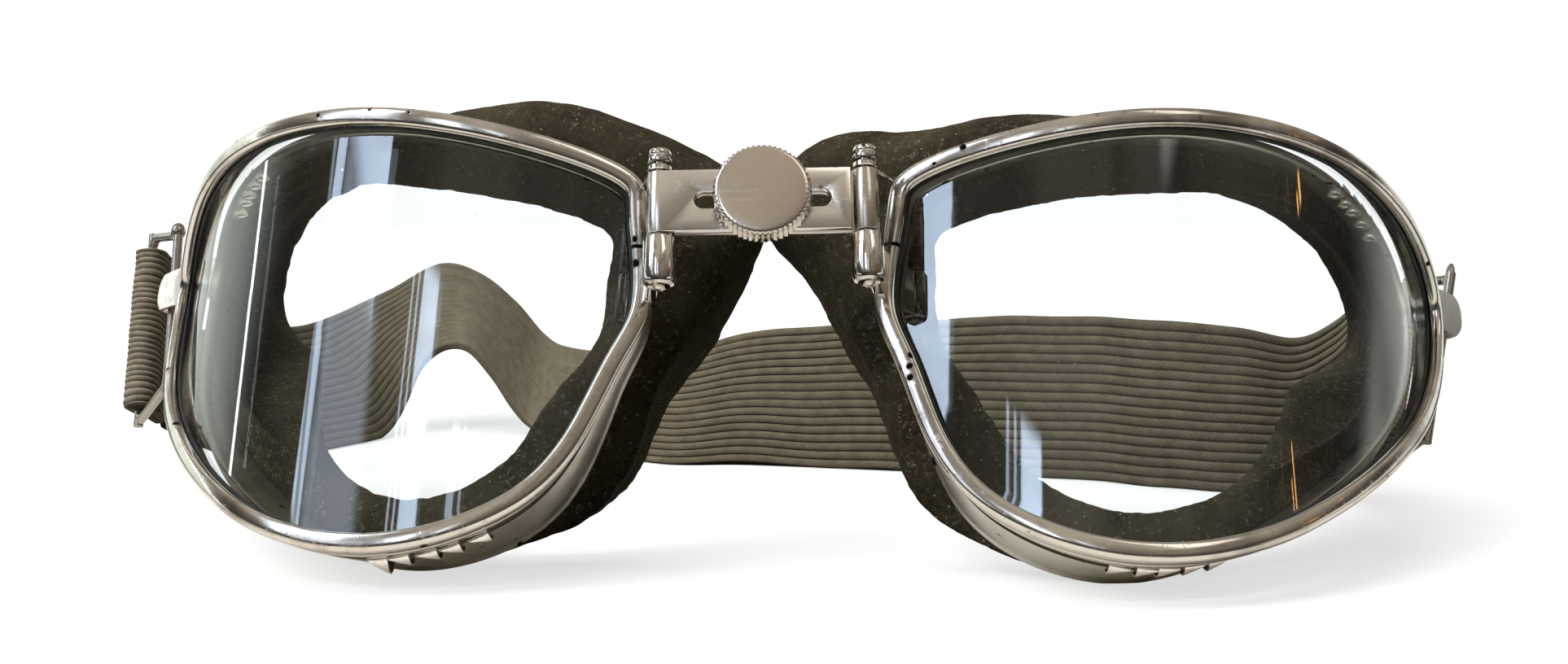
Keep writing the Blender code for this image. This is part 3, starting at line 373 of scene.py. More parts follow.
def webbing(name, face, groove_shade, worn, plain=None):
    """Elastic webbing in its strap map: x runs along it and y counts the ribs, both in shares of a rib."""
    p = Paint(name, face, roughness=0.9, strap_map=True)
    parts = p.node("SeparateXYZ", {"Vector": p.place}).outputs
    across = parts["Y"]
    along = parts["X"]
    rib = p.math("ABSOLUTE", p.math("SINE", p.times(across, math.pi)))
    deep = p.ramp(rib, 0.04, 0.58, 1.0, 0.0)
    if plain:
        smooth = p.times(p.ramp(along, plain[0], plain[1]), p.ramp(along, plain[2], plain[3], 1.0, 0.0))
        deep = p.times(deep, p.minus(1.0, p.times(smooth, PLAIN_SHARE)))
    thread = p.math("SINE", p.times(along, math.tau * 2.6))
    cross = p.math("SINE", p.plus(p.times(across, math.tau * 1.5), p.times(along, 3.0)))
    weave = p.times(thread, cross)
    stain = p.noise(0.55, detail=5, rough=0.6)
    fuzz = p.noise(9.0, detail=3, rough=0.7)
    base = p.mix(p.ramp(stain, 0.34, 0.68), face, worn)
    base = p.mix(p.ramp(fuzz, 0.45, 0.80, 0.0, 0.40), base, (0.34, 0.29, 0.205))
    # Painted shade: the grooves between the ribs are darkened towards the groove shade colour; the weave's pattern uses
    # the same dark colour
    base = p.mix(p.times(deep, 0.86), base, groove_shade)
    base = p.mix(p.ramp(weave, 0.2, 1.0, 0.0, 0.35), base, groove_shade)
    height = p.plus(p.times(weave, 0.25), p.times(fuzz, 0.8))
    p.surface({"Base Color": base, "Normal": p.bump(height, 0.5, 0.00012), "Specular IOR Level": 0.1})
    return p.material


def rubber(name):
    p = Paint(name, (0.012, 0.012, 0.013), roughness=0.55)
    grain = p.bump(p.noise(2500, detail=3), 0.2, 0.0001)
    p.surface({"Normal": grain, "Roughness": p.ramp(p.noise(400), 0.3, 0.7, 0.45, 0.7)})
    return p.material


def clear_glass(name, mirrored):
    """Thin clear glass: what is behind it, under a mirror that grows towards grazing sight, with light dust."""
    p = Paint(name, (0.9, 0.95, 0.95))
    p.surface({"Base Color": (0.95, 0.97, 0.96), "Metallic": 1.0, "Roughness": 0.0})
    clear = p.node("BsdfTransparent", {"Color": (0.955, 0.975, 0.970)})
    facing = p.node("LayerWeight", {"Blend": 0.5}).outputs["Facing"]
    mirror = p.plus(p.times(p.math("POWER", facing, 5.0), mirrored * 12), mirrored)
    distance, random = p.cells(900)
    specks = p.times(p.ramp(distance, 0.05, 0.12, 1.0, 0.0), p.math("GREATER_THAN", random["Red"], 0.965))
    film = p.ramp(p.noise(60, detail=5), 0.45, 0.85, 0.0, 0.02)
    share = p.plus(p.plus(mirror, film), p.times(specks, 0.5))
    mixed = p.node("MixShader", {"Fac": share, 1: clear.outputs["BSDF"], 2: p.shader.outputs["BSDF"]})
    p.put(p.tree.nodes["Material Output"].inputs["Surface"], mixed.outputs["Shader"])
    return p.material


PLATE = worn_metal("plated_metal", (0.78, 0.735, 0.67), (0.38, 0.315, 0.24), 0.09, 0.50, 1.0, 1.0)
RIM = worn_metal("rim_metal", (0.76, 0.715, 0.64), (0.42, 0.35, 0.265), 0.145, 0.55, 1.2, 1.0, 0.62)
SATIN = worn_metal("satin_metal", (0.66, 0.60, 0.52), (0.44, 0.38, 0.31), 0.24, 0.50, 0.3, 0.3)
# Painted light: a lighter copy of the satin metal, used where parts should show lit: the left bridge plate, the left
# hook and the louvres' outer faces
LIT_METAL = worn_metal("satin_metal_painted_lit", (0.93, 0.88, 0.81), (0.70, 0.63, 0.54), 0.22, 0.40, 0.5, 0.35)
WALL = worn_metal("wall_metal", (0.78, 0.75, 0.66), (0.50, 0.45, 0.36), 0.34, 0.55, 1.3, 0.6)
NUT = worn_metal("nut_metal", (0.74, 0.665, 0.575), (0.62, 0.545, 0.455), 0.21, 0.35, 0.12, 0.12)
# Painted light: a paler, less metallic copy of the satin metal, so the temple louvres and the right hook catch the
# lamps and show lit instead of dark
PALE_LIT_METAL = worn_metal("pale_metal_painted_lit", (0.84, 0.83, 0.78), (0.62, 0.60, 0.54), 0.45, 0.35, 0.4, 0.4)
PALE_LIT_METAL.node_tree.nodes["Principled BSDF"].inputs["Metallic"].default_value = 0.2
# Painted shade: a near-black copy of the plate, put on the wall's sunk front groove and under the raised louvres, where
# shade falls
SHADE_METAL = worn_metal("painted_shade_metal", (0.085, 0.068, 0.050), (0.030, 0.024, 0.018), 0.45, 0.8, 1.0, 1.0)
WIRE = worn_metal("wire_metal", (0.40, 0.37, 0.32), (0.22, 0.17, 0.12), 0.24, 0.7, 0.6, 0.5)
HIDE = hide("brown_hide")
# The second colour is painted shade for the grooves between the ribs
WEBBING_END = webbing("grey_webbing_end", (0.44, 0.385, 0.285), (0.055, 0.043, 0.028), (0.30, 0.255, 0.185))
RUBBER = rubber("black_rubber")
GLASS = clear_glass("clear_glass", 0.072)
GLASS_REAR = clear_glass("clear_glass_rear", 0.006)


# Mesh helpers

CORNERS = ((-1, -1), (1, -1), (1, 1), (-1, 1))


def placed(name, data):
    made = bpy.data.objects.new(name, data)
    bpy.context.scene.collection.objects.link(made)
    return made


def closed_mesh(name, vertices, faces):
    """A mesh whose faces all look outward."""
    mesh = bpy.data.meshes.new(name)
    mesh.from_pydata([tuple(float(c) for c in v) for v in vertices], [], faces)
    work = bmesh.new()
    work.from_mesh(mesh)
    bmesh.ops.recalc_face_normals(work, faces=work.faces)
    work.to_mesh(mesh)
    work.free()
    return mesh


def smooth(made, angle):
    made.data.shade_smooth()
    made.data.set_sharp_from_angle(angle=math.radians(angle))


def unit(rows):
    return rows / np.linalg.norm(rows, axis=1)[:, None]


def beside_run(path):
    """The unit normal of a flat path at each of its points."""
    run = unit(np.gradient(path, axis=0))
    return np.column_stack([-run[:, 1], run[:, 0]])


def travelled(points):
    """How far along a path each of its points lies."""
    return np.concatenate([[0], np.cumsum(np.linalg.norm(np.diff(points, axis=0), axis=1))])


def add_mesh(name, vertices, faces, paint, body=None, stands_for=(), angle=38):
    """A smooth mesh in world places that rides on a body and stands for CAD nodes."""
    mesh = closed_mesh(name, vertices, faces)
    made = placed(name, mesh)
    mesh.materials.append(paint)
    mesh.shade_smooth()
    if angle:
        mesh.set_sharp_from_angle(angle=math.radians(angle))
    if body:
        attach(made, body)
    if stands_for:
        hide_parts(*stands_for)
    return made


def ring_faces(rings, points, closed=True):
    faces = []
    for i in range(rings if closed else rings - 1):
        low = i * points
        high = (i + 1) % rings * points
        for j in range(points):
            m = (j + 1) % points
            faces.append((low + j, low + m, high + m, high + j))
    return faces


def capped_tube(rings, points):
    faces = ring_faces(rings, points, closed=False)
    faces.append(tuple(range(points)))
    faces.append(tuple((rings - 1) * points + j for j in range(points)))
    return faces


def turned_mesh(profile, sides, matrix):
    """Vertices and faces of (radius, height) pairs turned round z, placed by a matrix."""
    vertices = []
    rows = []
    faces = []
    for radius, height in profile:
        start = len(vertices)
        if radius == 0:
            vertices.append(matrix @ Vector((0, 0, height)))
            rows.append([start])
            continue
        for k in range(sides):
            turn = math.tau * k / sides
            vertices.append(matrix @ Vector((radius * math.cos(turn), radius * math.sin(turn), height)))
        rows.append(list(range(start, start + sides)))
    for a, b in zip(rows, rows[1:]):
        for k in range(sides):
            m = (k + 1) % sides
            if len(a) == 1:
                faces.append((a[0], b[m], b[k]))
            elif len(b) == 1:
                faces.append((a[k], a[m], b[0]))
            else:
                faces.append((a[k], a[m], b[m], b[k]))
    return vertices, faces


def smooth_closed(points, count):
    """A closed curve through points, sampled evenly by chord length, that doesn't overshoot."""
    points = np.array(points, float)
    chord = np.linalg.norm(np.roll(points, -1, 0) - points, axis=1) ** 0.5
    knots = np.concatenate([[0], np.cumsum(chord)])
    n = len(points)
    wanted = np.linspace(0, knots[-1], count, endpoint=False)
    index = np.clip(np.searchsorted(knots, wanted, side="right") - 1, 0, n - 1)
    before = chord[(index - 1) % n]
    here = chord[index]
    after = chord[(index + 1) % n]
    before, here, after = before[:, None], here[:, None], after[:, None]
    p0, p1, p2, p3 = (points[(index + k) % n] for k in (-1, 0, 1, 2))
    m1 = ((p1 - p0) / before - (p2 - p0) / (before + here) + (p2 - p1) / here) * here
    m2 = ((p2 - p1) / here - (p3 - p1) / (here + after) + (p3 - p2) / after) * here
    t = (wanted - knots[index])[:, None] / here
    blend = (2 * t**3 - 3 * t**2 + 1) * p1 + (t**3 - 2 * t**2 + t) * m1
    return blend + (3 * t**2 - 2 * t**3) * p2 + (t**3 - t**2) * m2


def spline(rows, closed):
    """Fine samples of a cubic spline through rows."""
    rows = np.array(rows, float)
    knots = len(rows)
    if closed:
        system = np.eye(knots) * 4 + np.roll(np.eye(knots), 1, 0) + np.roll(np.eye(knots), -1, 0)
        slopes = np.linalg.solve(system, 3 * (np.roll(rows, -1, 0) - np.roll(rows, 1, 0)))
        spans = knots
    else:
        slopes = np.gradient(rows, axis=0)
        spans = knots - 1
    fine = np.linspace(0, spans, spans * 60 + 1)
    index = np.minimum(fine.astype(int), spans - 1)
    t = (fine - index)[:, None]
    a = rows[index]
    b = rows[(index + 1) % knots]
    da = slopes[index]
    db = slopes[(index + 1) % knots]
    h = (1 - t) ** 2
    return (1 + 2 * t) * h * a + t * h * da + t**2 * (3 - 2 * t) * b + t**2 * (t - 1) * db


def even_steps(curve, count, columns, closed):
    """Samples of a curve at even distances, measured in its first columns."""
    distance = travelled(curve[:, :columns])
    wanted = np.linspace(0, distance[-1], count, endpoint=not closed)
    return np.column_stack([np.interp(wanted, distance, curve[:, k]) for k in range(curve.shape[1])])


def strip_outline(path, thickness):
    """The outline of a flat strip with its middle on a path."""
    points = np.array(path, float)
    side = beside_run(points) * thickness / 2
    return [tuple(p) for p in points + side] + [tuple(p) for p in (points - side)[::-1]]


def bevelled(made, width, segments=2, angle=40):
    """Rounds a mesh's sharp edges for good."""
    modifier = made.modifiers.new("round", "BEVEL")
    modifier.width = width
    modifier.segments = segments
    modifier.limit_method = "ANGLE"
    modifier.angle_limit = math.radians(angle)
    settle(made)
    smooth(made, 50)


def settle(made):
    """Puts a piece's modifiers into its mesh."""
    bpy.context.view_layer.update()
    shown = made.evaluated_get(bpy.context.evaluated_depsgraph_get())
    mesh = bpy.data.meshes.new_from_object(shown)
    made.modifiers.clear()
    made.data = mesh


def cut(made, vertices, faces):
    """Takes a closed helper out of a piece for good."""
    helper = placed("helper", closed_mesh("helper", vertices, faces))
    modifier = made.modifiers.new("cut", "BOOLEAN")
    modifier.operation = "DIFFERENCE"
    modifier.solver = "EXACT"
    modifier.object = helper
    settle(made)
    bpy.data.objects.remove(helper, do_unlink=True)


def cut_box(made, low, high, matrix, angle):
    """Takes a box out of a piece, between two corners in a frame of its own."""
    sides = (low[:2], (high[0], low[1]), high[:2], (low[0], high[1]))
    corners = [matrix @ Vector((x, y, z)) for z in (low[2], high[2]) for x, y in sides]
    cut(made, corners, capped_tube(2, 4))
    smooth(made, angle)


# The eyecup's outline

class Outline:
    """The eyecup's outline by station: its places, and the ways out, forward, back and flat aside there."""

    def __init__(self):
        rows = []
        for across, up, wall, cushion, bulge, opening, lip in OUTLINE_SHARES:
            u = NOSE_EDGE_U + across * EYECUP_WIDTH
            v = BOTTOM_EDGE_V + up * EYECUP_HEIGHT
            pad = (cushion * CUSHION_DEPTH, bulge * CUSHION_BULGE, opening, lip * CUSHION_LIP)
            rows.append((u, v, wall * WALL_DEPTH) + pad)
        table = even_steps(spline(rows, True), STATIONS, 2, True)
        self.uv = table[:, :2]
        self.wall, self.cushion, self.bulge, self.opening, self.lip = table[:, 2:].T
        self.middle = np.array([
            NOSE_EDGE_U + MIDDLE_SHARES[0] * EYECUP_WIDTH,
            BOTTOM_EDGE_V + MIDDLE_SHARES[1] * EYECUP_HEIGHT,
        ])
        self.point = np.array([self.on_surface(u, v) for u, v in self.uv])
        self.front = np.array([self.normal(u) for u in self.uv[:, 0]])
        tangent = unit(np.roll(self.point, -1, 0) - np.roll(self.point, 1, 0))
        self.out = unit(np.cross(self.front, tangent))
        away = self.point - self.on_surface(*self.middle)
        self.out *= np.sign(np.sum(self.out * away, axis=1))[:, None]
        self.point += RIM_CROWN * self.front + RIM_SWELL * self.out
        back = WALL_TAPER_SHARE * -self.front + (1 - WALL_TAPER_SHARE) * np.array([0.0, 1.0, 0.0])
        back -= WALL_DRAFT_SHARE * self.out
        self.back = unit(back)
        run = unit(np.roll(self.uv, -1, 0) - np.roll(self.uv, 1, 0))
        self.aside = np.column_stack([-run[:, 1], run[:, 0]])
        self.aside *= np.sign(np.sum(self.aside * (self.uv - self.middle), axis=1))[:, None]

    @staticmethod
    def depth(u):
        """How far back the glass lies at a place across."""
        return (u - CROWN_U) ** 2 / (2 * LENS_RADIUS) - CROWN_DEPTH

    @staticmethod
    def normal(u):
        n = np.array([(u - CROWN_U) / LENS_RADIUS, -1.0, 0.0])
        return n / np.linalg.norm(n)

    def on_surface(self, u, v):
        return np.array([u, self.depth(u), v])

    def at(self, station, out, depth):
        """A place out from the line and back along the rim, then along the wall."""
        shallow = min(depth, RIM_DEPTH + GAP)
        place = self.point[station] + out * self.out[station] - shallow * self.front[station]
        return place + (depth - shallow) * self.back[station]

    def beside(self, station, out, depth):
        """A place flat aside of the line and straight back, for the cushion."""
        u, v = self.uv[station] + out * self.aside[station]
        return np.array([u, self.depth(self.uv[station][0]) + depth, v])

    def inner(self, station, share, depth):
        """A place between the middle and the line, straight back."""
        u, v = self.middle + share * (self.uv[station] - self.middle)
        return self.on_surface(u, v) + np.array([0.0, depth, 0.0])

    def near(self, v):
        """The temple's station nearest a height."""
        side = self.uv[:, 0] > self.middle[0]
        return int(np.argmin(np.abs(self.uv[:, 1] - v) + np.where(side, 0, EYECUP_WIDTH)))

    def edge(self, v, out, depth, temple=False):
        """The place of the nose's or the temple's side at a height."""
        points = np.array([self.at(k, out, depth) for k in range(STATIONS)])
        right = self.uv[:, 0] > self.middle[0]
        chosen = points[right == temple]
        order = np.argsort(chosen[:, 2])
        return np.array([np.interp(v, chosen[order, 2], chosen[order, k]) for k in (0, 1)])


OUTLINE = Outline()


class Cup:
    """One eyecup's places: its frame on the hinge, and the hinge's own frame."""

    def __init__(self, side):
        self.side = side
        self.sign = -1 if side == "left" else 1
        self.body = f"eyecup_{side}"
        aside = Matrix.Translation((self.sign * HINGE_SPACING / 2, 0, 0))
        self.hinge = BRIDGE @ aside @ Matrix.Rotation(YAW[side], 4, "Z")
        self.frame = self.hinge @ Matrix.Rotation(HINGE_PLAY, 4, "Y")

    def world(self, points):
        """World places of (u, w, v) points."""
        places = np.array(points, float).reshape(-1, 3) * (self.sign, 1, 1)
        matrix = np.array(self.frame)
        return places @ matrix[:3, :3].T + matrix[:3, 3]

    def name(self, piece):
        return f"{piece}_{self.side}"

    def swept(self, piece, sections, paint, stands_for=None, slot=None, angle=38):
        points = np.concatenate([np.array(s, float) for s in sections])
        faces = ring_faces(len(sections), len(sections[0]))
        nodes = [self.name(stands_for)] if stands_for else ()
        return add_mesh(self.name(piece), self.world(points), faces, paint, self.body, nodes, angle)

    def turned(self, piece, profile, sides):
        """A metal ring turned round the hinge axis from a closed profile."""
        vertices, faces = turned_mesh(profile + profile[:1], sides, self.hinge)
        add_mesh(self.name(piece), vertices, faces, PLATE, self.body, (), 30)

    def drawn(self, piece, outline, low, high, matrix, paint):
        """A prism along a frame's own z, from an outline across and back."""
        vertices = [matrix @ Vector((self.sign * u, w, v)) for v in (low, high) for u, w in outline]
        return add_mesh(self.name(piece), vertices, capped_tube(2, len(outline)), paint, None)


CUPS = [Cup("left"), Cup("right")]


def dented(station, strength):
    """Small waves and dents round the rim, the same for both eyecups."""
    turn = math.tau * station / STATIONS
    wave = math.sin(turn * 5 + 0.6) * 0.35 + math.sin(turn * 13 + 2.1) * 0.2
    soft = noise.noise(Vector((math.cos(turn) * 6, math.sin(turn) * 6, 1.7)))
    return strength * (wave * 0.4 + soft)


def front_rim(cup):
    """The plated channel: a rolled inner lip, a broad bead, a step and a second narrow bead."""
    profile = [
        (-2.26, 1.45), (-2.38, 1.20), (-2.42, 0.80), (-2.38, 0.40), (-2.24, 0.17), (-2.02, 0.07),
        (-1.70, 0.00), (-1.30, -0.04), (-0.95, -0.04), (-0.60, 0.02), (-0.30, 0.18), (-0.10, 0.46), (-0.01, 0.90),
        (0.01, 1.45), (-0.04, 1.95), (-0.22, 2.18), (-0.24, 2.34), (-0.05, 2.52), (0.02, 2.90),
        (0.00, 3.40), (-0.06, 3.85), (-0.20, 4.14), (-0.42, 4.20), (-0.60, 4.05), (-0.62, 3.0),
        (-0.62, 1.70), (-0.75, 1.45), (-1.40, 1.42), (-2.05, 1.48),
    ]
    profile = smooth_closed(np.array(profile) * 0.001, 56)
    sections = []
    for k in range(STATIONS):
        lift = dented(k, 0.00005)
        sections.append([OUTLINE.at(k, out + lift, depth) for out, depth in profile])
    rim = cup.swept("rim", sections, RIM, "front_rim", "plated_metal", angle=60)
    half = BRIDGE_HEIGHT / 2
    u, w = OUTLINE.edge(-half, -0.0012, RIM_DEPTH / 2)
    low = (cup.sign * u - RIM_SPLIT_WIDTH, w - RIM_SPLIT_WIDTH, -half)
    high = (cup.sign * u + RIM_SPLIT_WIDTH, w + RIM_SPLIT_WIDTH, -half + RIM_SPLIT_HEIGHT)
    cut_box(rim, low, high, cup.frame, 60)


def knuckles(cup):
    """The rolled lower barrel and the thin upper lug, each with its arm to the rim."""
    half = BRIDGE_HEIGHT / 2
    top = -half - GAP
    low = top - KNUCKLE_HEIGHT
    chamfer = 0.0004
    bore = PIN_RADIUS + BORE_PLAY
    r = KNUCKLE_RADIUS * 1.06
    barrel = [
        (bore, low + 0.0001), (r - chamfer * 1.6, low), (r - chamfer * 0.5, low + chamfer * 0.6),
        (r, low + chamfer * 1.8), (r, top - chamfer), (r - chamfer * 0.3, top - chamfer * 0.3),
        (r - chamfer, top), (bore, top),
    ]
    ease = 0.0001
    foot = half + GAP
    head = foot + LUG_HEIGHT
    lug = [
        (bore, foot), (LUG_RADIUS - ease, foot), (LUG_RADIUS, foot + ease),
        (LUG_RADIUS, head - ease), (LUG_RADIUS - ease, head), (bore, head),
    ]
    cup.turned("knuckle", barrel, 48)
    for piece, bottom, height, wide in (("knuckle_arm", low, KNUCKLE_HEIGHT, 1.35), ("lug_arm", foot, LUG_HEIGHT, 1.0)):
        level = bottom + height / 2
        u, w = OUTLINE.edge(level, 0, RIM_DEPTH / 2)
        end = np.array([u + cup.sign * level * math.sin(HINGE_PLAY), w])
        front = np.array([0.0, -(r - ARM_THICKNESS * wide / 2)])
        path = [front, end * 0.25 + front * 0.80, end * 0.62 + front * 0.22, end * 1.02]
        if piece == "lug_arm":
            path = [end * 0.17, end * 0.6, end]
        outline = strip_outline([tuple(p) for p in path], ARM_THICKNESS * wide)
        arm = cup.drawn(piece, outline, bottom + ease, bottom + height - ease, cup.hinge, PLATE)
        bevelled(arm, 0.0002)
        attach(arm, cup.body)
    cup.turned("lug", lug, 40)


def glass(cup):
    """The curved lens, with smooth faces and a ground edge."""
    inset = RIM_WALL + GAP
    rings = GLASS_RINGS
    points = []
    for depth in (GLASS_DEPTH, GLASS_DEPTH + GLASS_THICKNESS):
        for ring in range(rings):
            share = 1 - ring / rings
            for k in range(STATIONS):
                edge = OUTLINE.at(k, -inset, RIM_CROWN)
                u, v = OUTLINE.middle + share * (edge[[0, 2]] - OUTLINE.middle)
                points.append(OUTLINE.on_surface(u, v) - (depth - RIM_CROWN) * OUTLINE.normal(u))
        u, v = OUTLINE.middle
        points.append(OUTLINE.on_surface(u, v) - (depth - RIM_CROWN) * OUTLINE.normal(u))
    layer = rings * STATIONS + 1
    faces = []
    for start in (0, layer):
        for ring in range(rings - 1):
            a = start + ring * STATIONS
            for k in range(STATIONS):
                m = (k + 1) % STATIONS
                faces.append((a + k, a + m, a + STATIONS + m, a + STATIONS + k))
        last = start + (rings - 1) * STATIONS
        for k in range(STATIONS):
            faces.append((last + k, last + (k + 1) % STATIONS, start + layer - 1))
    for k in range(STATIONS):
        m = (k + 1) % STATIONS
        faces.append((k, m, layer + m, layer + k))
    lens = [cup.name("lens")]
    made = add_mesh(cup.name("glass"), cup.world(points), faces, GLASS, cup.body, lens, 40)
    made.data.materials.append(GLASS_REAR)
    for polygon in made.data.polygons:
        if min(polygon.vertices) >= layer:
            polygon.material_index = 1


def gasket(cup):
    """The black ring that shows round the glass inside the lip."""
    outer = -RIM_WALL - GAP
    inner = outer - 0.00160
    corners = [(outer, 0.0017), (outer, 0.0022), (inner + 0.0002, 0.0022), (inner, 0.0020), (inner + 0.0002, 0.0017)]
    profile = smooth_closed(corners, 14)
    sections = [[OUTLINE.at(k, out, depth) for out, depth in profile] for k in range(STATIONS)]
    cup.swept("gasket", sections, RUBBER, "lens_gasket", "black_rubber", 60)


def vent_places(cup):
    """The places of the vents: corner, way along the wall, the way they are raised, way back, length and rise."""
    distance = travelled(np.concatenate([OUTLINE.point, OUTLINE.point[:1]]))
    places = []
    for row, (start, count) in enumerate(VENT_ROW_SHARES[cup.side]):
        for turn in range(count):
            at = start * distance[-1] + turn * VENT_PITCH
            k = int(np.searchsorted(distance, at)) % STATIONS
            a, b = (OUTLINE.at(s % STATIONS, -0.00010, VENT_DEPTH[row]) for s in (k - 3, k))
            run = (b - a) / np.linalg.norm(b - a)
            back = OUTLINE.back[k]
            outward = np.cross(run, back)
            outward /= np.linalg.norm(outward)
            if outward @ OUTLINE.out[k] < 0:
                outward = -outward
            rise = LOUVRE_RISE[cup.side][row]
            if (cup.side, row, turn) == ("left", 2, count - 1):
                rise = LAST_LOUVRE_RISE
            run = -run if row == 2 else run
            outward = -outward if row == 0 else outward
            places.append((b, run, outward, back, LOUVRE_LENGTH[row], rise))
    return places


def wall(cup):
    """The side wall with its sunk front edge, rolled rear lip and triangular louvres bent out of the sheet."""
    flange = WALL_FLANGE
    sections = []
    for k in range(STATIONS):
        rear = OUTLINE.wall[k]
        half = (flange + rear) / 2
        lift = dented(k, 0.00006)
        profile = [
            (-0.00175, flange), (-0.00160, flange), (-0.00148, flange + 0.0003), (-0.00135, flange + 0.0007),
            (-0.00080, flange + 0.00085), (-0.00010, flange + 0.0011), (lift, flange + 0.0018), (lift, half),
            (lift * 0.5, rear - 0.0016), (0.00002, rear - 0.0009), (0.00022, rear - 0.0006), (0.00030, rear - 0.0003),
            (0.00018, rear - 0.00004), (-0.00010, rear), (-0.00045, rear - 0.0001), (-0.00062, rear - 0.0004),
            (-0.0006, rear - 0.0016), (-0.0006 + lift, half), (-0.0007, flange + 0.0022),
            (-0.0014, flange + 0.0014), (-0.0016, flange + 0.0009), (-0.00175, flange + 0.0005),
        ]
        sections.append([OUTLINE.at(k, out, depth) for out, depth in profile])
    made = cup.swept("wall", sections, WALL, "eyecup_body", "plated_metal", 45)
    # Painted shade: the first five faces of each section, the sunk groove along the wall's front edge, take the
    # near-black shade metal
    made.data.materials.append(SHADE_METAL)
    for number, polygon in enumerate(made.data.polygons):
        if number % len(sections[0]) < 5:
            polygon.material_index = 1
    vertices = []
    faces = []
    scoops = []
    scoop_faces = []
    shaded = []
    for place, run, outward, back, length, rise in vent_places(cup):
        a = place - run * 0.0015
        b = place + run * 0.0001
        tip = place + back * length
        low = len(vertices)
        vertices += [p + outward * side for side in (-0.0012, 0.0012) for p in (a, b, tip)]
        prism = ((0, 1, 2), (3, 4, 5), (0, 1, 4, 3), (1, 2, 5, 4), (2, 0, 3, 5))
        faces += [tuple(low + i for i in face) for face in prism]
        inward = outward @ (place - OUTLINE.on_surface(*OUTLINE.middle)) < 0
        flush = outward * (0.00050 if inward else -0.00012)
        left = place - run * 0.0026 + flush
        front = place - back * 0.00025 + flush
        foot = tip + back * 0.00015 + flush
        rows = []
        for share in (0.0, 0.30, 0.60, 0.85, 1.0):
            edge = []
            for turn in (0.0, 0.22, 0.45, 0.70, 1.0):
                side = front + (foot - front) * turn
                lift = math.sin(math.pi * turn ** 0.75) * rise * share ** 0.8
                edge.append(left + (side - left) * share + outward * lift)
            rows.append(edge)
        outer = [p for row in rows for p in row]
        start = len(scoops)
        scoops += outer + [p - outward * LOUVRE_THICKNESS for p in outer]
        n = LOUVRE_STEPS
        under = start + n * n
        for i in range(n - 1):
            for j in range(n - 1):
                q = (i * n + j, i * n + j + 1, (i + 1) * n + j + 1, (i + 1) * n + j)
                scoop_faces.append(tuple(start + m for m in q))
                scoop_faces.append(tuple(under + m for m in q[::-1]))
                if not inward:
                    shaded.append(len(scoop_faces) - 1)
        edge = [i * n for i in range(n)] + [n * (n - 1) + j for j in range(1, n)]
        edge += [i * n + n - 1 for i in range(n - 2, -1, -1)] + list(range(n - 2, 0, -1))
        for x, y in zip(edge, edge[1:] + edge[:1]):
            scoop_faces.append((start + x, start + y, under + y, under + x))
    cut(made, cup.world(vertices), faces)
    smooth(made, 45)
    # Painted light and shade: the louvres' outer faces take the lighter painted-lit metal, the undersides of the
    # outward louvres the near-black painted shade metal, and the temple row the paler, less metallic copy that shows
    # lit
    louvres = add_mesh(cup.name("louvres"), cup.world(scoops), scoop_faces, LIT_METAL, cup.body, (), 60)
    louvres.data.materials.append(SHADE_METAL)
    louvres.data.materials.append(PALE_LIT_METAL)
    for number in shaded:
        louvres.data.polygons[number].material_index = 1
    temple_row = VENT_ROW_SHARES[cup.side][0][1]
    for number in range(2 * (LOUVRE_STEPS**2 - 1) * temple_row):
        louvres.data.polygons[number].material_index = 2


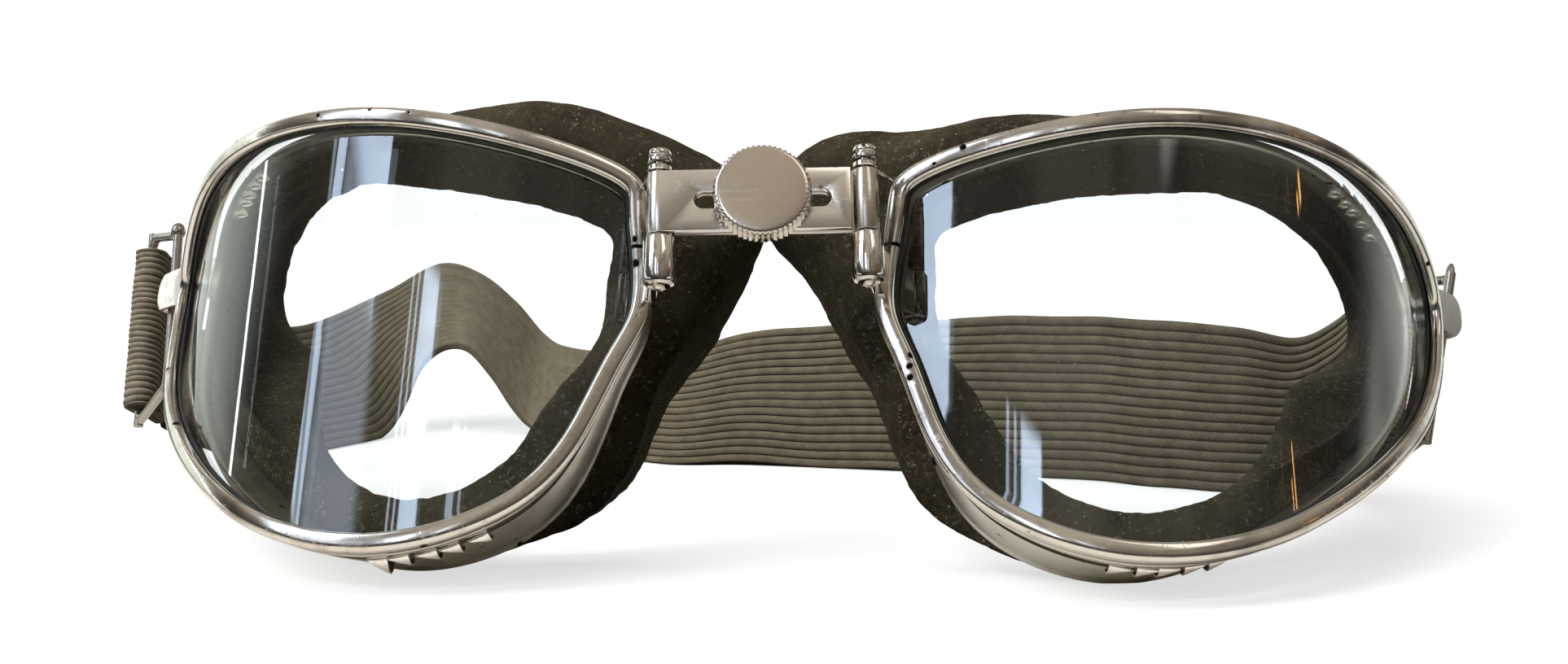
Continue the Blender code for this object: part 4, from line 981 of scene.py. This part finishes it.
def cushion(cup):
    """The soft pad: a swollen skirt behind the wall, a thin wall in to the eye opening and a frayed edge."""
    half = DIAPHRAGM_THICKNESS / 2
    seed = 3.1 if cup.side == "left" else 9.4
    sections = []
    for k in range(STATIONS):
        start = OUTLINE.wall[k] + GAP * 0.4
        run = OUTLINE.cushion[k]
        bulge = OUTLINE.bulge[k]
        lip = OUTLINE.lip[k]
        eye = OUTLINE.opening[k]
        floor = max(DIAPHRAGM_DEPTH, start + half)
        turn = math.tau * k / STATIONS
        place = Vector((math.cos(turn) * 5, math.sin(turn) * 5, seed))
        ragged = noise.noise(place * 4) * 0.00025 + noise.noise(place * 14) * 0.00012
        fray = noise.noise(place * 3 + Vector((0, 0, 4))) * 0.006 + noise.noise(place * 12) * 0.003
        swell = noise.noise(place * 1.3) * 0.0004
        away = (k / STATIONS - PULL_PLACE_SHARES[cup.side]) / PULL_REACH_SHARES[cup.side]
        bulge = bulge + swell + CUSHION_PULL[cup.side] * math.exp(-away * away)
        section = [
            OUTLINE.at(k, -0.0002, start),
            OUTLINE.beside(k, bulge * 0.55 + CUSHION_SWELL / 2, start + run * 0.15),
            OUTLINE.beside(k, bulge * 0.90 + CUSHION_SWELL, start + run * 0.40),
            OUTLINE.beside(k, bulge + CUSHION_SWELL / 2 + ragged, start + run * 0.70),
            OUTLINE.beside(k, bulge - lip * 0.15 + ragged, start + run * 0.93),
            OUTLINE.beside(k, bulge - lip * 0.50, start + run + ragged),
            OUTLINE.beside(k, bulge - lip * 0.90, start + run * 0.93),
            OUTLINE.beside(k, bulge - lip, start + run * 0.74),
            OUTLINE.inner(k, (1 + eye) / 2 - 0.04, floor + half * 2.4),
            OUTLINE.inner(k, eye + fray * 0.6, floor + half * 0.8),
            OUTLINE.inner(k, eye + fray - 0.004, floor),
            OUTLINE.inner(k, eye + fray * 0.6, floor - half * 0.8),
            OUTLINE.at(k, -CUSHION_SHOULDER, start),
        ]
        sections.append(smooth_closed(section, 64))
    made = cup.swept("cushion", sections, HIDE, "face_cushion", "brown_hide", 0)
    mesh = made.data
    rough = np.array([tuple(v.co) for v in mesh.vertices])
    normals = np.array([tuple(n.vector) for n in mesh.vertex_normals])
    for i, (p, n) in enumerate(zip(rough, normals)):
        q = Vector(p) * 1000
        shift = noise.noise(q * 0.16) * 0.00022 + noise.noise(q * 0.55) * 0.00010 + noise.noise(q * 1.6) * 0.00005
        mesh.vertices[i].co = Vector(p) + Vector(n) * shift


def hinge_pin(cup):
    """The pin with its grooved, domed and slotted head."""
    top = BRIDGE_HEIGHT / 2 + 2 * GAP + LUG_HEIGHT
    low = -BRIDGE_HEIGHT / 2 - GAP - KNUCKLE_HEIGHT - 0.0005
    h = PIN_HEAD_HEIGHT
    r = PIN_HEAD_RADIUS
    shank = [(0, low), (PIN_RADIUS * 0.7, low), (PIN_RADIUS, low + 0.0002), (PIN_RADIUS, top), (r * 0.96, top)]
    head = [
        (0.93, 0.36), (0.78, 0.40), (0.78, 0.45), (0.90, 0.49), (0.95, 0.55), (0.95, 0.76), (0.86, 0.88),
        (0.62, 0.96), (0.3, 0.995),
    ]
    profile = shank + [(r, top + 0.0001), (r, top + h * 0.30)]
    profile += [(r * across, top + h * up) for across, up in head] + [(0, top + h)]
    vertices, faces = turned_mesh(profile, 40, cup.hinge)
    made = add_mesh(cup.name("pin"), vertices, faces, PLATE, None)
    turned = cup.hinge @ Matrix.Rotation(-YAW[cup.side] + PIN_SLOT_TURN[cup.side], 4, "Z")
    cut_box(made, (-0.004, -0.00022, top + h * 0.66), (0.004, 0.00022, top + h * 1.4), turned, 35)
    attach(made, cup.body)
    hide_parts(cup.name("hinge_pin"))


def hook_places(cup):
    """Where the hook's root, the ways back and outward and the loop's wire lie, flat at the hook's height."""
    station = OUTLINE.near(HOOK_V)
    back = OUTLINE.back[station][:2]
    outward = np.array([back[1], -back[0]])
    outward *= np.sign(outward[0])
    wall_place = OUTLINE.edge(HOOK_V, 0, RIM_DEPTH + GAP, temple=True)
    levels = np.linspace(-HOOK_WIDTH / 2, HOOK_WIDTH / 2, 5) + HOOK_V
    depths = (RIM_DEPTH + GAP, RIM_DEPTH + GAP + HOOK_BASE)
    sides = [OUTLINE.edge(v, 0, depth, temple=True) for v in levels for depth in depths]
    wall_place = wall_place + outward * max(0, *((side - wall_place) @ outward for side in sides))
    wire = wall_place + outward * HOOK_REACH[cup.side] + back * HOOK_BACK
    return wall_place, back, outward, wire


def hook(cup):
    """The bent tab, wider at its root, that curls back round the loop's wire; its brightness is painted light."""
    wall_place, back, outward, wire = hook_places(cup)
    offset = outward * (GAP * 0.3 + HOOK_THICKNESS / 2)
    base = wall_place + back * HOOK_THICKNESS
    path = [base + offset + back * HOOK_BASE, base + offset + back * HOOK_BASE / 2, base + offset]
    radius = HOOK_BORE_RADIUS + HOOK_THICKNESS / 2
    front = wire - back * radius
    corner = path[-1]
    for share in (0.30, 0.65):
        path.append(corner + (front - corner) * share - back * HOOK_THICKNESS / 2)
    for k in range(14):
        turn = math.radians(-90 + 18 * k)
        path.append(wire + radius * (math.cos(turn) * outward + math.sin(turn) * back))
    fine = even_steps(spline(np.array(path), False), 60, 2, False)
    side = beside_run(fine) * HOOK_THICKNESS / 2
    levels = (-1, -0.96, -0.8, -0.55, -0.25, 0.25, 0.55, 0.8, 0.96, 1)
    rounds = [(v, -1 if abs(v) < 1 else -0.55) for v in levels] + [(v, 1 if abs(v) < 1 else 0.55) for v in levels[::-1]]
    sections = []
    for k, (p, s) in enumerate(zip(fine, side)):
        share = k / (len(fine) - 1)
        width = HOOK_WIDTH * (1.12 - 0.20 * share)
        if share > 0.93:
            width *= math.sqrt(max(0.15, 1 - ((share - 0.93) / 0.07) ** 2 * 0.6))
        half = width / 2
        ring = []
        curl = min(1.0, max(0.0, (share - 0.30) / 0.25))
        for v, t in rounds:
            q = p + s * t - outward * 0.0012 * abs(v) ** 3 * curl
            ring.append((q[0], q[1], HOOK_V + v * half))
        sections.append(ring)
    points = [q for ring in sections for q in ring]
    faces = capped_tube(len(sections), len(rounds))
    # Painted light: the left hook takes the lighter painted-lit metal, the right one the paler, less metallic copy
    paint = LIT_METAL if cup.side == "left" else PALE_LIT_METAL
    add_mesh(cup.name("hook"), cup.world(points), faces, paint, cup.body, [cup.name("strap_hook")], 40)


def loop_axes(cup):
    """The loop's pivot in the hook, and the ways ahead, up and across its flat ring."""
    _, _, _, wire = hook_places(cup)
    swing = LOOP_SWING[cup.side]
    tilt = LOOP_TILT[cup.side]
    pivot = np.array([wire[0], wire[1], HOOK_V])
    ahead = np.array([math.cos(swing), math.sin(swing), 0.0])
    up = np.array([math.sin(tilt), 0.0, math.cos(tilt)])
    ahead -= up * ahead.dot(up)
    ahead /= np.linalg.norm(ahead)
    return pivot, ahead, up, np.cross(ahead, up)


def loop(cup):
    """The bent wire ring, its two ends side by side at the top of the near leg."""
    pivot, ahead, up, across = loop_axes(cup)
    near = LOOP_NEAR_HEIGHT / 2
    far = LOOP_FAR_HEIGHT / 2
    drop = LOOP_DROP[cup.side]
    corners = [(0, near, 180, 90), (LOOP_DEPTH, far, 90, 0), (LOOP_DEPTH, -far, 0, -90), (0, -near, -90, -180)]
    path = []
    for reach, height, first, last in corners:
        inner = reach + (LOOP_CORNER if reach == 0 else -LOOP_CORNER)
        level = height - math.copysign(LOOP_CORNER, height)
        for k in range(9):
            turn = math.radians(first + (last - first) * k / 8)
            path.append((inner + LOOP_CORNER * math.cos(turn), level + LOOP_CORNER * math.sin(turn) - drop))
    path.append((0, near - LOOP_CORNER - drop))
    fine = even_steps(spline(path, True), 220, 2, True)
    places = pivot + fine[:, :1] * ahead + fine[:, 1:2] * up
    sections = []
    for place, along in zip(places, unit(np.roll(places, -1, 0) - np.roll(places, 1, 0))):
        side = np.cross(across, along)
        turns = np.linspace(0, math.tau, 14, endpoint=False)
        ring = [place + (across * math.cos(a) + side * math.sin(a)) * LOOP_WIRE_RADIUS for a in turns]
        sections.append(ring)
    made = cup.swept("loop", sections, WIRE, "strap_loop", "plated_metal", 60)
    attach(made, f"strap_loop_{cup.side}")
    bead_place = pivot + up * (near - drop + 0.0002) + ahead * 0.0002
    vertices = []
    thin, tall = BEAD_SHAPE[cup.side]
    rings = 9
    for i in range(1, rings):
        lift = math.pi * i / rings
        for a in np.linspace(0, math.tau, 18, endpoint=False):
            flat = across * math.cos(a) + ahead * math.sin(a)
            vertices.append(bead_place + (flat * math.sin(lift) * thin + up * math.cos(lift) * tall) * BEAD_RADIUS)
    vertices += [bead_place + up * tall * BEAD_RADIUS, bead_place - up * tall * BEAD_RADIUS]
    faces = ring_faces(rings - 1, 18, closed=False)
    last = (rings - 2) * 18
    top = len(vertices) - 2
    for k in range(18):
        m = (k + 1) % 18
        faces.append((k, m, top))
        faces.append((last + k, last + m, top + 1))
    body = f"strap_loop_{cup.side}"
    add_mesh(cup.name("loop_bead"), cup.world(vertices), faces, WIRE, body, (), 60)


def bridge_plate(side, sign, front, back, body):
    """A slotted plate with eased edges, rolled round its pin."""
    hinge = sign * HINGE_SPACING / 2
    end = -sign * (HINGE_SPACING / 2 - BARREL_RADIUS - GAP)
    half = BRIDGE_HEIGHT / 2
    low = math.asin(front / BARREL_RADIUS)
    high = math.asin(back / BARREL_RADIUS)
    outline = [(end, front), (end, back)]
    sides = 44
    for k in range(sides + 1):
        turn = high + (math.tau - (high - low)) * k / sides
        outline.append((hinge - sign * BARREL_RADIUS * math.cos(turn), BARREL_RADIUS * math.sin(turn)))
    vertices = [BRIDGE @ Vector((u, w, v)) for v in (-half, half) for u, w in outline]
    # Painted light: the left plate takes the lighter painted-lit metal and the right plate the plain satin, so the left
    # one shows more lit
    paint = LIT_METAL if side == "left" else SATIN
    plate = add_mesh(f"plate_{side}", vertices, capped_tube(2, len(outline)), paint)
    straight = SLOT_LENGTH / 2 - SLOT_HEIGHT / 2
    slot = []
    for way in (1, -1):
        for k in range(15):
            turn = math.pi * (k / 14 - 0.5)
            slot.append((way * (straight + SLOT_HEIGHT / 2 * math.cos(turn)), way * SLOT_HEIGHT / 2 * math.sin(turn)))
    points = [BRIDGE @ Vector((x, y, z)) for y in (front - 0.001, back + 0.001) for x, z in slot]
    cut(plate, points, capped_tube(2, len(slot)))
    radius = PIN_RADIUS + BORE_PLAY
    reach = half * 2
    profile = [(0, -reach), (radius, -reach), (radius, reach), (0, reach)]
    hole, faces = turned_mesh(profile, 28, BRIDGE @ Matrix.Translation((hinge, 0, 0)))
    cut(plate, hole, faces)
    bevelled(plate, 0.00012, 2, 50)
    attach(plate, body)
    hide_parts(f"bridge_plate_{side}")


def thumb_nut(front):
    """The knurled disc: sharp crossed teeth, eased rims and a faintly domed plain face."""
    clamp = BRIDGE @ Matrix.Translation((0, 0, -SCREW_DROP))
    back = front - GAP
    face = back - NUT_THICKNESS
    sides = NUT_TEETH * 6
    r = NUT_RADIUS
    rows = [
        (0.00105, face + 0.0008, 0), (0.00105, back, 0), (r - 0.0005, back, 0), (r - 0.00015, back - 0.0001, 0.3),
        (r, back - 0.0003, 1), (r, back - 0.0010, 1), (r, face + 0.0010, 1), (r, face + 0.00042, 1),
        (r - 0.00010, face + 0.00026, 0.75), (r - 0.00030, face + 0.00012, 0.25), (r - 0.00055, face + 0.00002, 0),
        (r - 0.0009, face - 0.00002, 0), (r * 0.7, face - 0.00006, 0), (r * 0.4, face - 0.00010, 0),
        (r * 0.15, face - 0.00012, 0),
    ]
    vertices = []
    for radius, y, tooth in rows:
        for k in range(sides):
            turn = math.tau * k / sides
            bite = abs(((k / 6.0) % 1.0) * 2 - 1)
            here = radius - tooth * NUT_TOOTH_DEPTH * (1 - bite) ** 0.8
            vertices.append(clamp @ Vector((here * math.cos(turn), y, here * math.sin(turn))))
    faces = ring_faces(len(rows), sides, closed=False)
    vertices.append(clamp @ Vector((0, face - 0.00012, 0)))
    vertices.append(clamp @ Vector((0, face + 0.0008, 0)))
    last = (len(rows) - 1) * sides
    for k in range(sides):
        m = (k + 1) % sides
        faces.append((last + k, last + m, len(vertices) - 2))
        faces.append((k, m, len(vertices) - 1))
    add_mesh("nut", vertices, faces, NUT, "thumb_nut", ["thumb_nut"], 30)


# The strap

def rib_height(share, ribs, depth):
    """The height of a webbing face at a share of its width: a row of round cords with narrow grooves."""
    return depth * (abs(math.sin(math.pi * ribs * share)) ** 0.55)


def end_frame(cup, toward):
    """The middle of the loop's far leg, the way to a point and the way up the wire."""
    pivot, ahead, up, _ = loop_axes(cup)
    place = pivot + ahead * LOOP_DEPTH - up * LOOP_DROP[cup.side]
    middle = cup.frame @ Vector((cup.sign * place[0], place[1], place[2]))
    up = (cup.frame.to_3x3() @ Vector((cup.sign * up[0], up[1], up[2]))).normalized()
    ahead = toward - middle
    ahead = (ahead - ahead.dot(up) * up).normalized()
    return middle, ahead, up


def strap_map(made, values):
    """Stores the strap's own coordinates, which its weave follows."""
    layer = made.data.uv_layers.new(name="strap")
    for spot in made.data.loops:
        layer.data[spot.index].uv = values[spot.vertex_index]


def strap_end(cup, toward):
    """The webbing folded round the loop's far leg, with its cords running round the fold."""
    middle, ahead, up = end_frame(cup, toward)
    side = up.cross(ahead)
    radius = LOOP_WIRE_RADIUS + GAP * 0.5 + STRAP_THICKNESS / 2
    layer = (STRAP_THICKNESS + GAP * 0.5) / 2
    path = [(STRAP_TAIL, layer), (STRAP_TAIL * 0.66, layer), (STRAP_TAIL * 0.40, (layer + radius) / 2)]
    path += [(radius * math.cos(a), radius * math.sin(a)) for a in np.radians(np.arange(75, 290, 20))]
    path += [(STRAP_TAIL * 0.40, -(layer + radius) / 2), (STRAP_TAIL * 0.66, -layer), (STRAP_TAIL, -layer)]
    fine = even_steps(spline(path, False), END_STATIONS, 2, False)
    normal = beside_run(fine)
    if np.dot(normal[END_STATIONS // 2], fine[END_STATIONS // 2]) < 0:
        normal = -normal
    levels = END_RIBS * RIB_LEVELS
    half = STRAP_END_WIDTH / 2
    points = []
    values = []
    for p, n, length in zip(fine, normal, map(float, travelled(fine))):
        for face in (1, -1):
            order = range(levels + 1) if face == 1 else range(levels, -1, -1)
            for j in order:
                share = j / levels
                drift = share + (noise.noise(Vector((length * 160, share * 7, 4.4))) * 0.6 + length * 60) / END_RIBS
                thick = STRAP_THICKNESS / 2 * 0.80 + rib_height(drift, END_RIBS, RIB_DEPTH)
                sway = noise.noise(Vector((length * 300, share * 5, 2.0))) * 0.00018
                q = p + n * (thick * face + sway)
                height = half * (2 * share - 1) + noise.noise(Vector((length * 220, share * 3, 7.7))) * 0.0003
                points.append(middle + ahead * q[0] + side * q[1] + up * height)
                values.append((length / (STRAP_WIDTH / END_RIBS), drift * END_RIBS))
    faces = capped_tube(END_STATIONS, (levels + 1) * 2)
    made = add_mesh(cup.name("strap_wrap"), points, faces, WEBBING_END, angle=0)
    strap_map(made, values)
    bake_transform(made)
    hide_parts(cup.name("strap_end"))
    return middle + ahead * (STRAP_TAIL - GAP), ahead, up


def strap_route(left, right):
    """The strap's low edge and its way up, by station from one end to the other."""
    rows = []
    for across, reach, lift, lean, heading in STRAP_ROUTE_SHARES:
        tilt = math.radians(lean)
        turn = math.radians(heading)
        place = (across * STRAP_SPAN + STAND.x, reach * STRAP_REACH + STAND.y, lift * STRAP_WIDTH)
        rows.append(place + (math.sin(tilt) * math.cos(turn), math.sin(tilt) * math.sin(turn), math.cos(tilt)))
    ends = []
    for place, ahead, up in (left, right):
        low = place - up * STRAP_WIDTH / 2
        ends.append([tuple(low) + tuple(up), tuple(low + ahead * STRAP_THICKNESS * 2) + tuple(up)])
    rows = ends[0] + rows + ends[1][::-1]
    return even_steps(spline(rows, False), STRAP_STATIONS, 2, False)


def ribbon(name, route, first, last, ribbed, paint):
    """One length of the strap between two stations of its route."""
    levels = STRAP_RIBS * RIB_LEVELS
    middle = route[:, :3] + route[:, 3:] * STRAP_WIDTH / 2
    run = np.gradient(middle, axis=0)
    distance = travelled(middle)
    points = []
    values = []
    for k in range(first, last + 1):
        low = Vector(route[k, :3])
        up = Vector(route[k, 3:]).normalized()
        side = up.cross(Vector(run[k])).normalized()
        depth = RIB_DEPTH * ribbed(k)
        for face in (1, -1):
            order = range(levels + 1) if face == 1 else range(levels, -1, -1)
            for j in order:
                share = j / levels
                thick = STRAP_THICKNESS / 2 - depth * 0.6 + rib_height(share, STRAP_RIBS, depth)
                wave = noise.noise(Vector((distance[k] * 60, share * 1.6, 0.4))) * 0.0005
                wave *= math.sin(math.pi * share) ** 0.5
                level = share * STRAP_WIDTH + noise.noise(Vector((distance[k] * 90, share * 2.0, 5.2))) * 0.00035
                p = low + up * level + side * (face * thick + wave)
                points.append((p.x, p.y, max(p.z, 0.00005)))
                values.append((distance[k] / (STRAP_WIDTH / STRAP_RIBS), share * STRAP_RIBS))
    made = add_mesh(name, points, capped_tube(last - first + 1, (levels + 1) * 2), paint, angle=80)
    strap_map(made, values)
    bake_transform(made)
    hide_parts("head_strap")


def head_strap(left, right):
    """The strap in three lengths, with plain webbing on its hump."""
    route = strap_route(left, right)
    count = len(route) - 1
    hump = round(count * HUMP_SHARE)
    middle = int(count * SLIDE_SHARE)
    distance = travelled(route[:, :3] + route[:, 3:] * STRAP_WIDTH / 2) / (STRAP_WIDTH / STRAP_RIBS)
    plain = [float(distance[int(count * share)]) for share in PLAIN_PLACES]
    # The second colour is painted shade for the grooves between the ribs
    paint = webbing("grey_webbing", (0.140, 0.116, 0.077), (0.018, 0.014, 0.009), (0.195, 0.165, 0.112), plain)

    def ribbed(k):
        """How deep the ribs are at a station, as a share."""
        here = distance[k]
        rise = np.clip((here - plain[0]) / (plain[1] - plain[0]), 0, 1)
        fall = np.clip((plain[3] - here) / (plain[3] - plain[2]), 0, 1)
        return 1.0 - PLAIN_SHARE * float(rise * fall) - (0.45 if here < plain[0] else 0.45 * (1 - float(rise)))

    ribbon("strap_left", route, 0, hump, ribbed, paint)
    ribbon("strap_rear", route, hump, middle, ribbed, paint)
    ribbon("strap_right", route, middle, count, ribbed, paint)


# Build

for cup in CUPS:
    front_rim(cup)
    knuckles(cup)
    glass(cup)
    gasket(cup)
    wall(cup)
    cushion(cup)
    hinge_pin(cup)
    hook(cup)
    loop(cup)

plate_front = -BARREL_RADIUS * PLATE_FRONT_SHARE
plate_middle = plate_front + PLATE_THICKNESS
bridge_plate("left", -1, plate_front, plate_middle, "bridge")
bridge_plate("right", 1, plate_middle + GAP, plate_middle + GAP + PLATE_THICKNESS, "bridge_slide")
thumb_nut(plate_front)
for node in ("thumb_screw", "washer"):
    frame["nodes"][node].data.materials.clear()
    frame["nodes"][node].data.materials.append(SATIN)

ends = []
for cup, nearest in zip(CUPS, (STRAP_ROUTE_SHARES[0], STRAP_ROUTE_SHARES[-1])):
    across, reach, lift, _, _ = nearest
    toward = STAND + Vector((across * STRAP_SPAN, reach * STRAP_REACH, (lift + 0.5) * STRAP_WIDTH))
    ends.append(strap_end(cup, toward))
head_strap(*ends)


# Floor, light and camera

CAMERA_LENS = 40.04
CAMERA_PLACE = (0.0026, -0.2148, 0.044)
CAMERA_TILT = math.radians(86.31)
FLOOR_REACH = 12.0
FLOOR_SEEN = (0.46, 0.46, 0.46)
FLOOR_GLOW = 0.66
DIMMED_ABOVE = 2.5
BLUE = (6.2, 7.4, 9.4)
PALE_BLUE = (3.8, 4.4, 5.4)
GOLD = (12.0, 5.8, 1.7)
DIM_GOLD = (10.0, 4.8, 1.5)

# The room's colour by height, in degrees
ROOM = [
    (-90, (0.10, 0.085, 0.07)),
    (-8, (0.03, 0.026, 0.028)),
    (5, (0.012, 0.014, 0.022)),
    (13, (0.06, 0.052, 0.046)),
    (26, (0.26, 0.225, 0.185)),
    (40, (0.46, 0.41, 0.345)),
    (58, (0.48, 0.43, 0.365)),
    (75, (0.52, 0.48, 0.42)),
    (90, (0.60, 0.57, 0.52)),
]

# Lit patches: their angles round and up, light, softness and slant
PANES = [
    # grey light at both temples
    ((110, 172), (-14, 24), (1.0, 1.09, 1.02), 22, 0),
    ((-172, -122), (-14, 20), (0.95, 0.98, 0.92), 22, 0),
    # low light from both sides, under what the glass shows
    ((58, 118), (-24, 4), (1.1, 1.08, 1.0), 10, 0),
    ((-120, -62), (-24, 6), (0.95, 0.92, 0.85), 10, 0),
    # the tall window on the left, its bars and the roof line across it
    ((61, 66), (20, 62), BLUE, 1.0, 0.40),
    ((36, 60), (33, 62), BLUE, 1.0, 0.40),
    ((34, 60), (18, 34), (1.9, 2.15, 2.6), 6.0, 0.40),
    ((52, 54), (18, 50), (2.6, 2.9, 3.4), 1.2, 0.9),
    ((13, 20), (22, 39), BLUE, 1.0, 0.22),
    ((21.5, 22.4), (22, 39), PALE_BLUE, 0.5, 0.22),
    ((24.0, 24.9), (22, 39), PALE_BLUE, 0.5, 0.22),
    ((1.5, 2.4), (22, 35), (3.0, 3.4, 4.0), 0.5, 0.1),
    ((4.0, 6.5), (22, 35), (3.6, 4.2, 5.2), 0.5, 0.1),
    # a bright slit further round, and warm ones on the right
    ((97.0, 99.0), (2, 60), (10.0, 10.2, 10.4), 0.7, 1.13),
    ((-94.0, -93.3), (21.2, 22.3), GOLD, 0.4, 0),
    ((-92.6, -92.1), (21.4, 22.1), GOLD, 0.4, 0),
    ((-81.4, -80.9), (15.4, 18.4), DIM_GOLD, 0.3, 0),
    ((-80.2, -79.8), (15.4, 17.6), DIM_GOLD, 0.3, 0),
    # a soft pale wall light on the right that draws the long highlights on the rims
    ((-60, -34), (44, 74), (3.0, 2.9, 2.7), 6, 0),
]


def floor():
    """A pale floor: bright to the camera, dimmer and then dark to what the metal and glass reflect."""
    mesh = bpy.data.meshes.new("floor")
    mesh.from_pydata([(x * FLOOR_REACH, y * FLOOR_REACH, 0) for x, y in CORNERS], [], [(0, 1, 2, 3)])
    made = placed("floor", mesh)
    p = Paint("floor", FLOOR_SEEN, roughness=0.8)
    ray = p.node("LightPath").outputs
    distance = p.node("VectorMath", {0: p.place}, operation="LENGTH").outputs["Value"]
    reflected = p.mix(p.ramp(distance, 0.12, 0.34, shape="LINEAR"), (0.84, 0.80, 0.74), (0.014, 0.016, 0.024))
    bounced = p.mix(ray["Is Diffuse Ray"], reflected, (0.05, 0.047, 0.042))
    seen = p.mix(ray["Is Camera Ray"], bounced, FLOOR_SEEN)
    glow = p.times(ray["Is Camera Ray"], FLOOR_GLOW)
    p.surface({"Specular IOR Level": 0.1, "Base Color": seen, "Emission Color": (1, 1, 1), "Emission Strength": glow})
    mesh.materials.append(p.material)


class Sky(Nodes):
    """The room that metal and glass reflect, by compass angle from the front and by height, in degrees."""

    def __init__(self):
        world = bpy.data.worlds.new("studio")
        bpy.context.scene.world = world
        world.use_nodes = True
        super().__init__(world.node_tree)
        self.direction = self.node("TexCoord").outputs["Generated"]
        parts = self.node("SeparateXYZ", {"Vector": self.direction}).outputs
        aside = self.math("ARCTAN2", self.times(parts["X"], -1.0), self.times(parts["Y"], -1.0))
        self.turn = self.times(aside, math.degrees(1))
        self.height = self.times(self.math("ARCSINE", parts["Z"]), math.degrees(1))
        sharp = self.node("LightPath").outputs["Is Singular Ray"]
        self.glassy = self.plus(0.50, self.times(sharp, 0.50))

    def between(self, value, low, high, soft):
        """One inside a range and zero outside, with soft ends."""
        half = soft / 2
        return self.times(self.ramp(value, low - half, low + half), self.ramp(value, high + half, high - half))

    def pane(self, base, turns, heights, colour, soft, slant):
        """A lit patch over a base colour; its slant moves it aside with height."""
        turn = self.minus(self.turn, self.times(self.height, slant)) if slant else self.turn
        inside = self.times(self.between(turn, *turns, soft), self.between(self.height, *heights, min(soft, 3.0)))
        if max(colour) > DIMMED_ABOVE:
            inside = self.times(inside, self.glassy)
        return self.mix(inside, base, colour)

    def finish(self, colour):
        """Dims the room for diffuse light and shows plain white to the camera."""
        ray = self.node("LightPath").outputs
        background = self.tree.nodes["Background"]
        self.put(background.inputs["Color"], colour)
        self.put(background.inputs["Strength"], self.minus(1.0, self.times(ray["Is Diffuse Ray"], 0.68)))
        white = self.node("Background", {"Color": (1, 1, 1), "Strength": 1.12}).outputs["Background"]
        mixed = self.node("MixShader", {"Fac": ray["Is Camera Ray"], 1: background.outputs["Background"], 2: white})
        self.put(self.tree.nodes["World Output"].inputs["Surface"], mixed.outputs["Shader"])


def surroundings():
    """White to the camera; to reflections a warm room with tall windows, dark furniture and a pale ceiling."""
    sky = Sky()
    ramp = sky.node("ValToRGB", {"Fac": sky.ramp(sky.height, -90, 90, shape="LINEAR")})
    steps = ramp.color_ramp.elements
    steps.remove(steps[1])
    for k, (angle, colour) in enumerate(ROOM):
        at = (angle + 90) / 180
        step = steps[0] if k == 0 else steps.new(at)
        step.position = at
        step.color = (*colour, 1)
    blur = sky.node("TexNoise", {"Scale": 3.0, "Detail": 3, "Vector": sky.direction}).outputs["Fac"]
    colour = sky.mix(sky.ramp(blur, 0.42, 0.66, 0.0, 0.75, "LINEAR"), ramp.outputs["Color"], (0.11, 0.095, 0.08))
    for turns, heights, light, soft, slant in PANES:
        colour = sky.pane(colour, turns, heights, light, soft, slant)
    sky.finish(colour)


def camera():
    """The photograph's view."""
    data = bpy.data.cameras.new("camera")
    data.sensor_width = 36.0
    data.lens = CAMERA_LENS
    data.clip_start = 0.01
    made = placed("camera", data)
    across, back, up = CAMERA_PLACE
    made.location = (STAND.x + across, STAND.y + back, up)
    made.rotation_euler = (CAMERA_TILT, 0, 0)
    bpy.context.scene.camera = made


def sun(name, turn, height, strength, spread, colour):
    """A broad far light, placed by its compass angle from the front and its height."""
    data = bpy.data.lights.new(name, "SUN")
    data.energy = strength
    data.angle = math.radians(spread)
    data.color = colour
    made = placed(name, data)
    a = math.radians(turn)
    h = math.radians(height)
    towards = Vector((-math.sin(a) * math.cos(h), -math.cos(a) * math.cos(h), math.sin(h)))
    made.rotation_euler = towards.to_track_quat("Z", "Y").to_euler()
    made.visible_glossy = False


floor()
surroundings()
sun("overhead", 120, 72, 2.5, 70, (1.0, 0.99, 0.975))
sun("front_left", 58, 38, 1.5, 30, (1.0, 0.99, 0.97))
camera()
bpy.context.scene.view_settings.view_transform = "Standard"
bpy.context.scene.view_settings.look = "None"
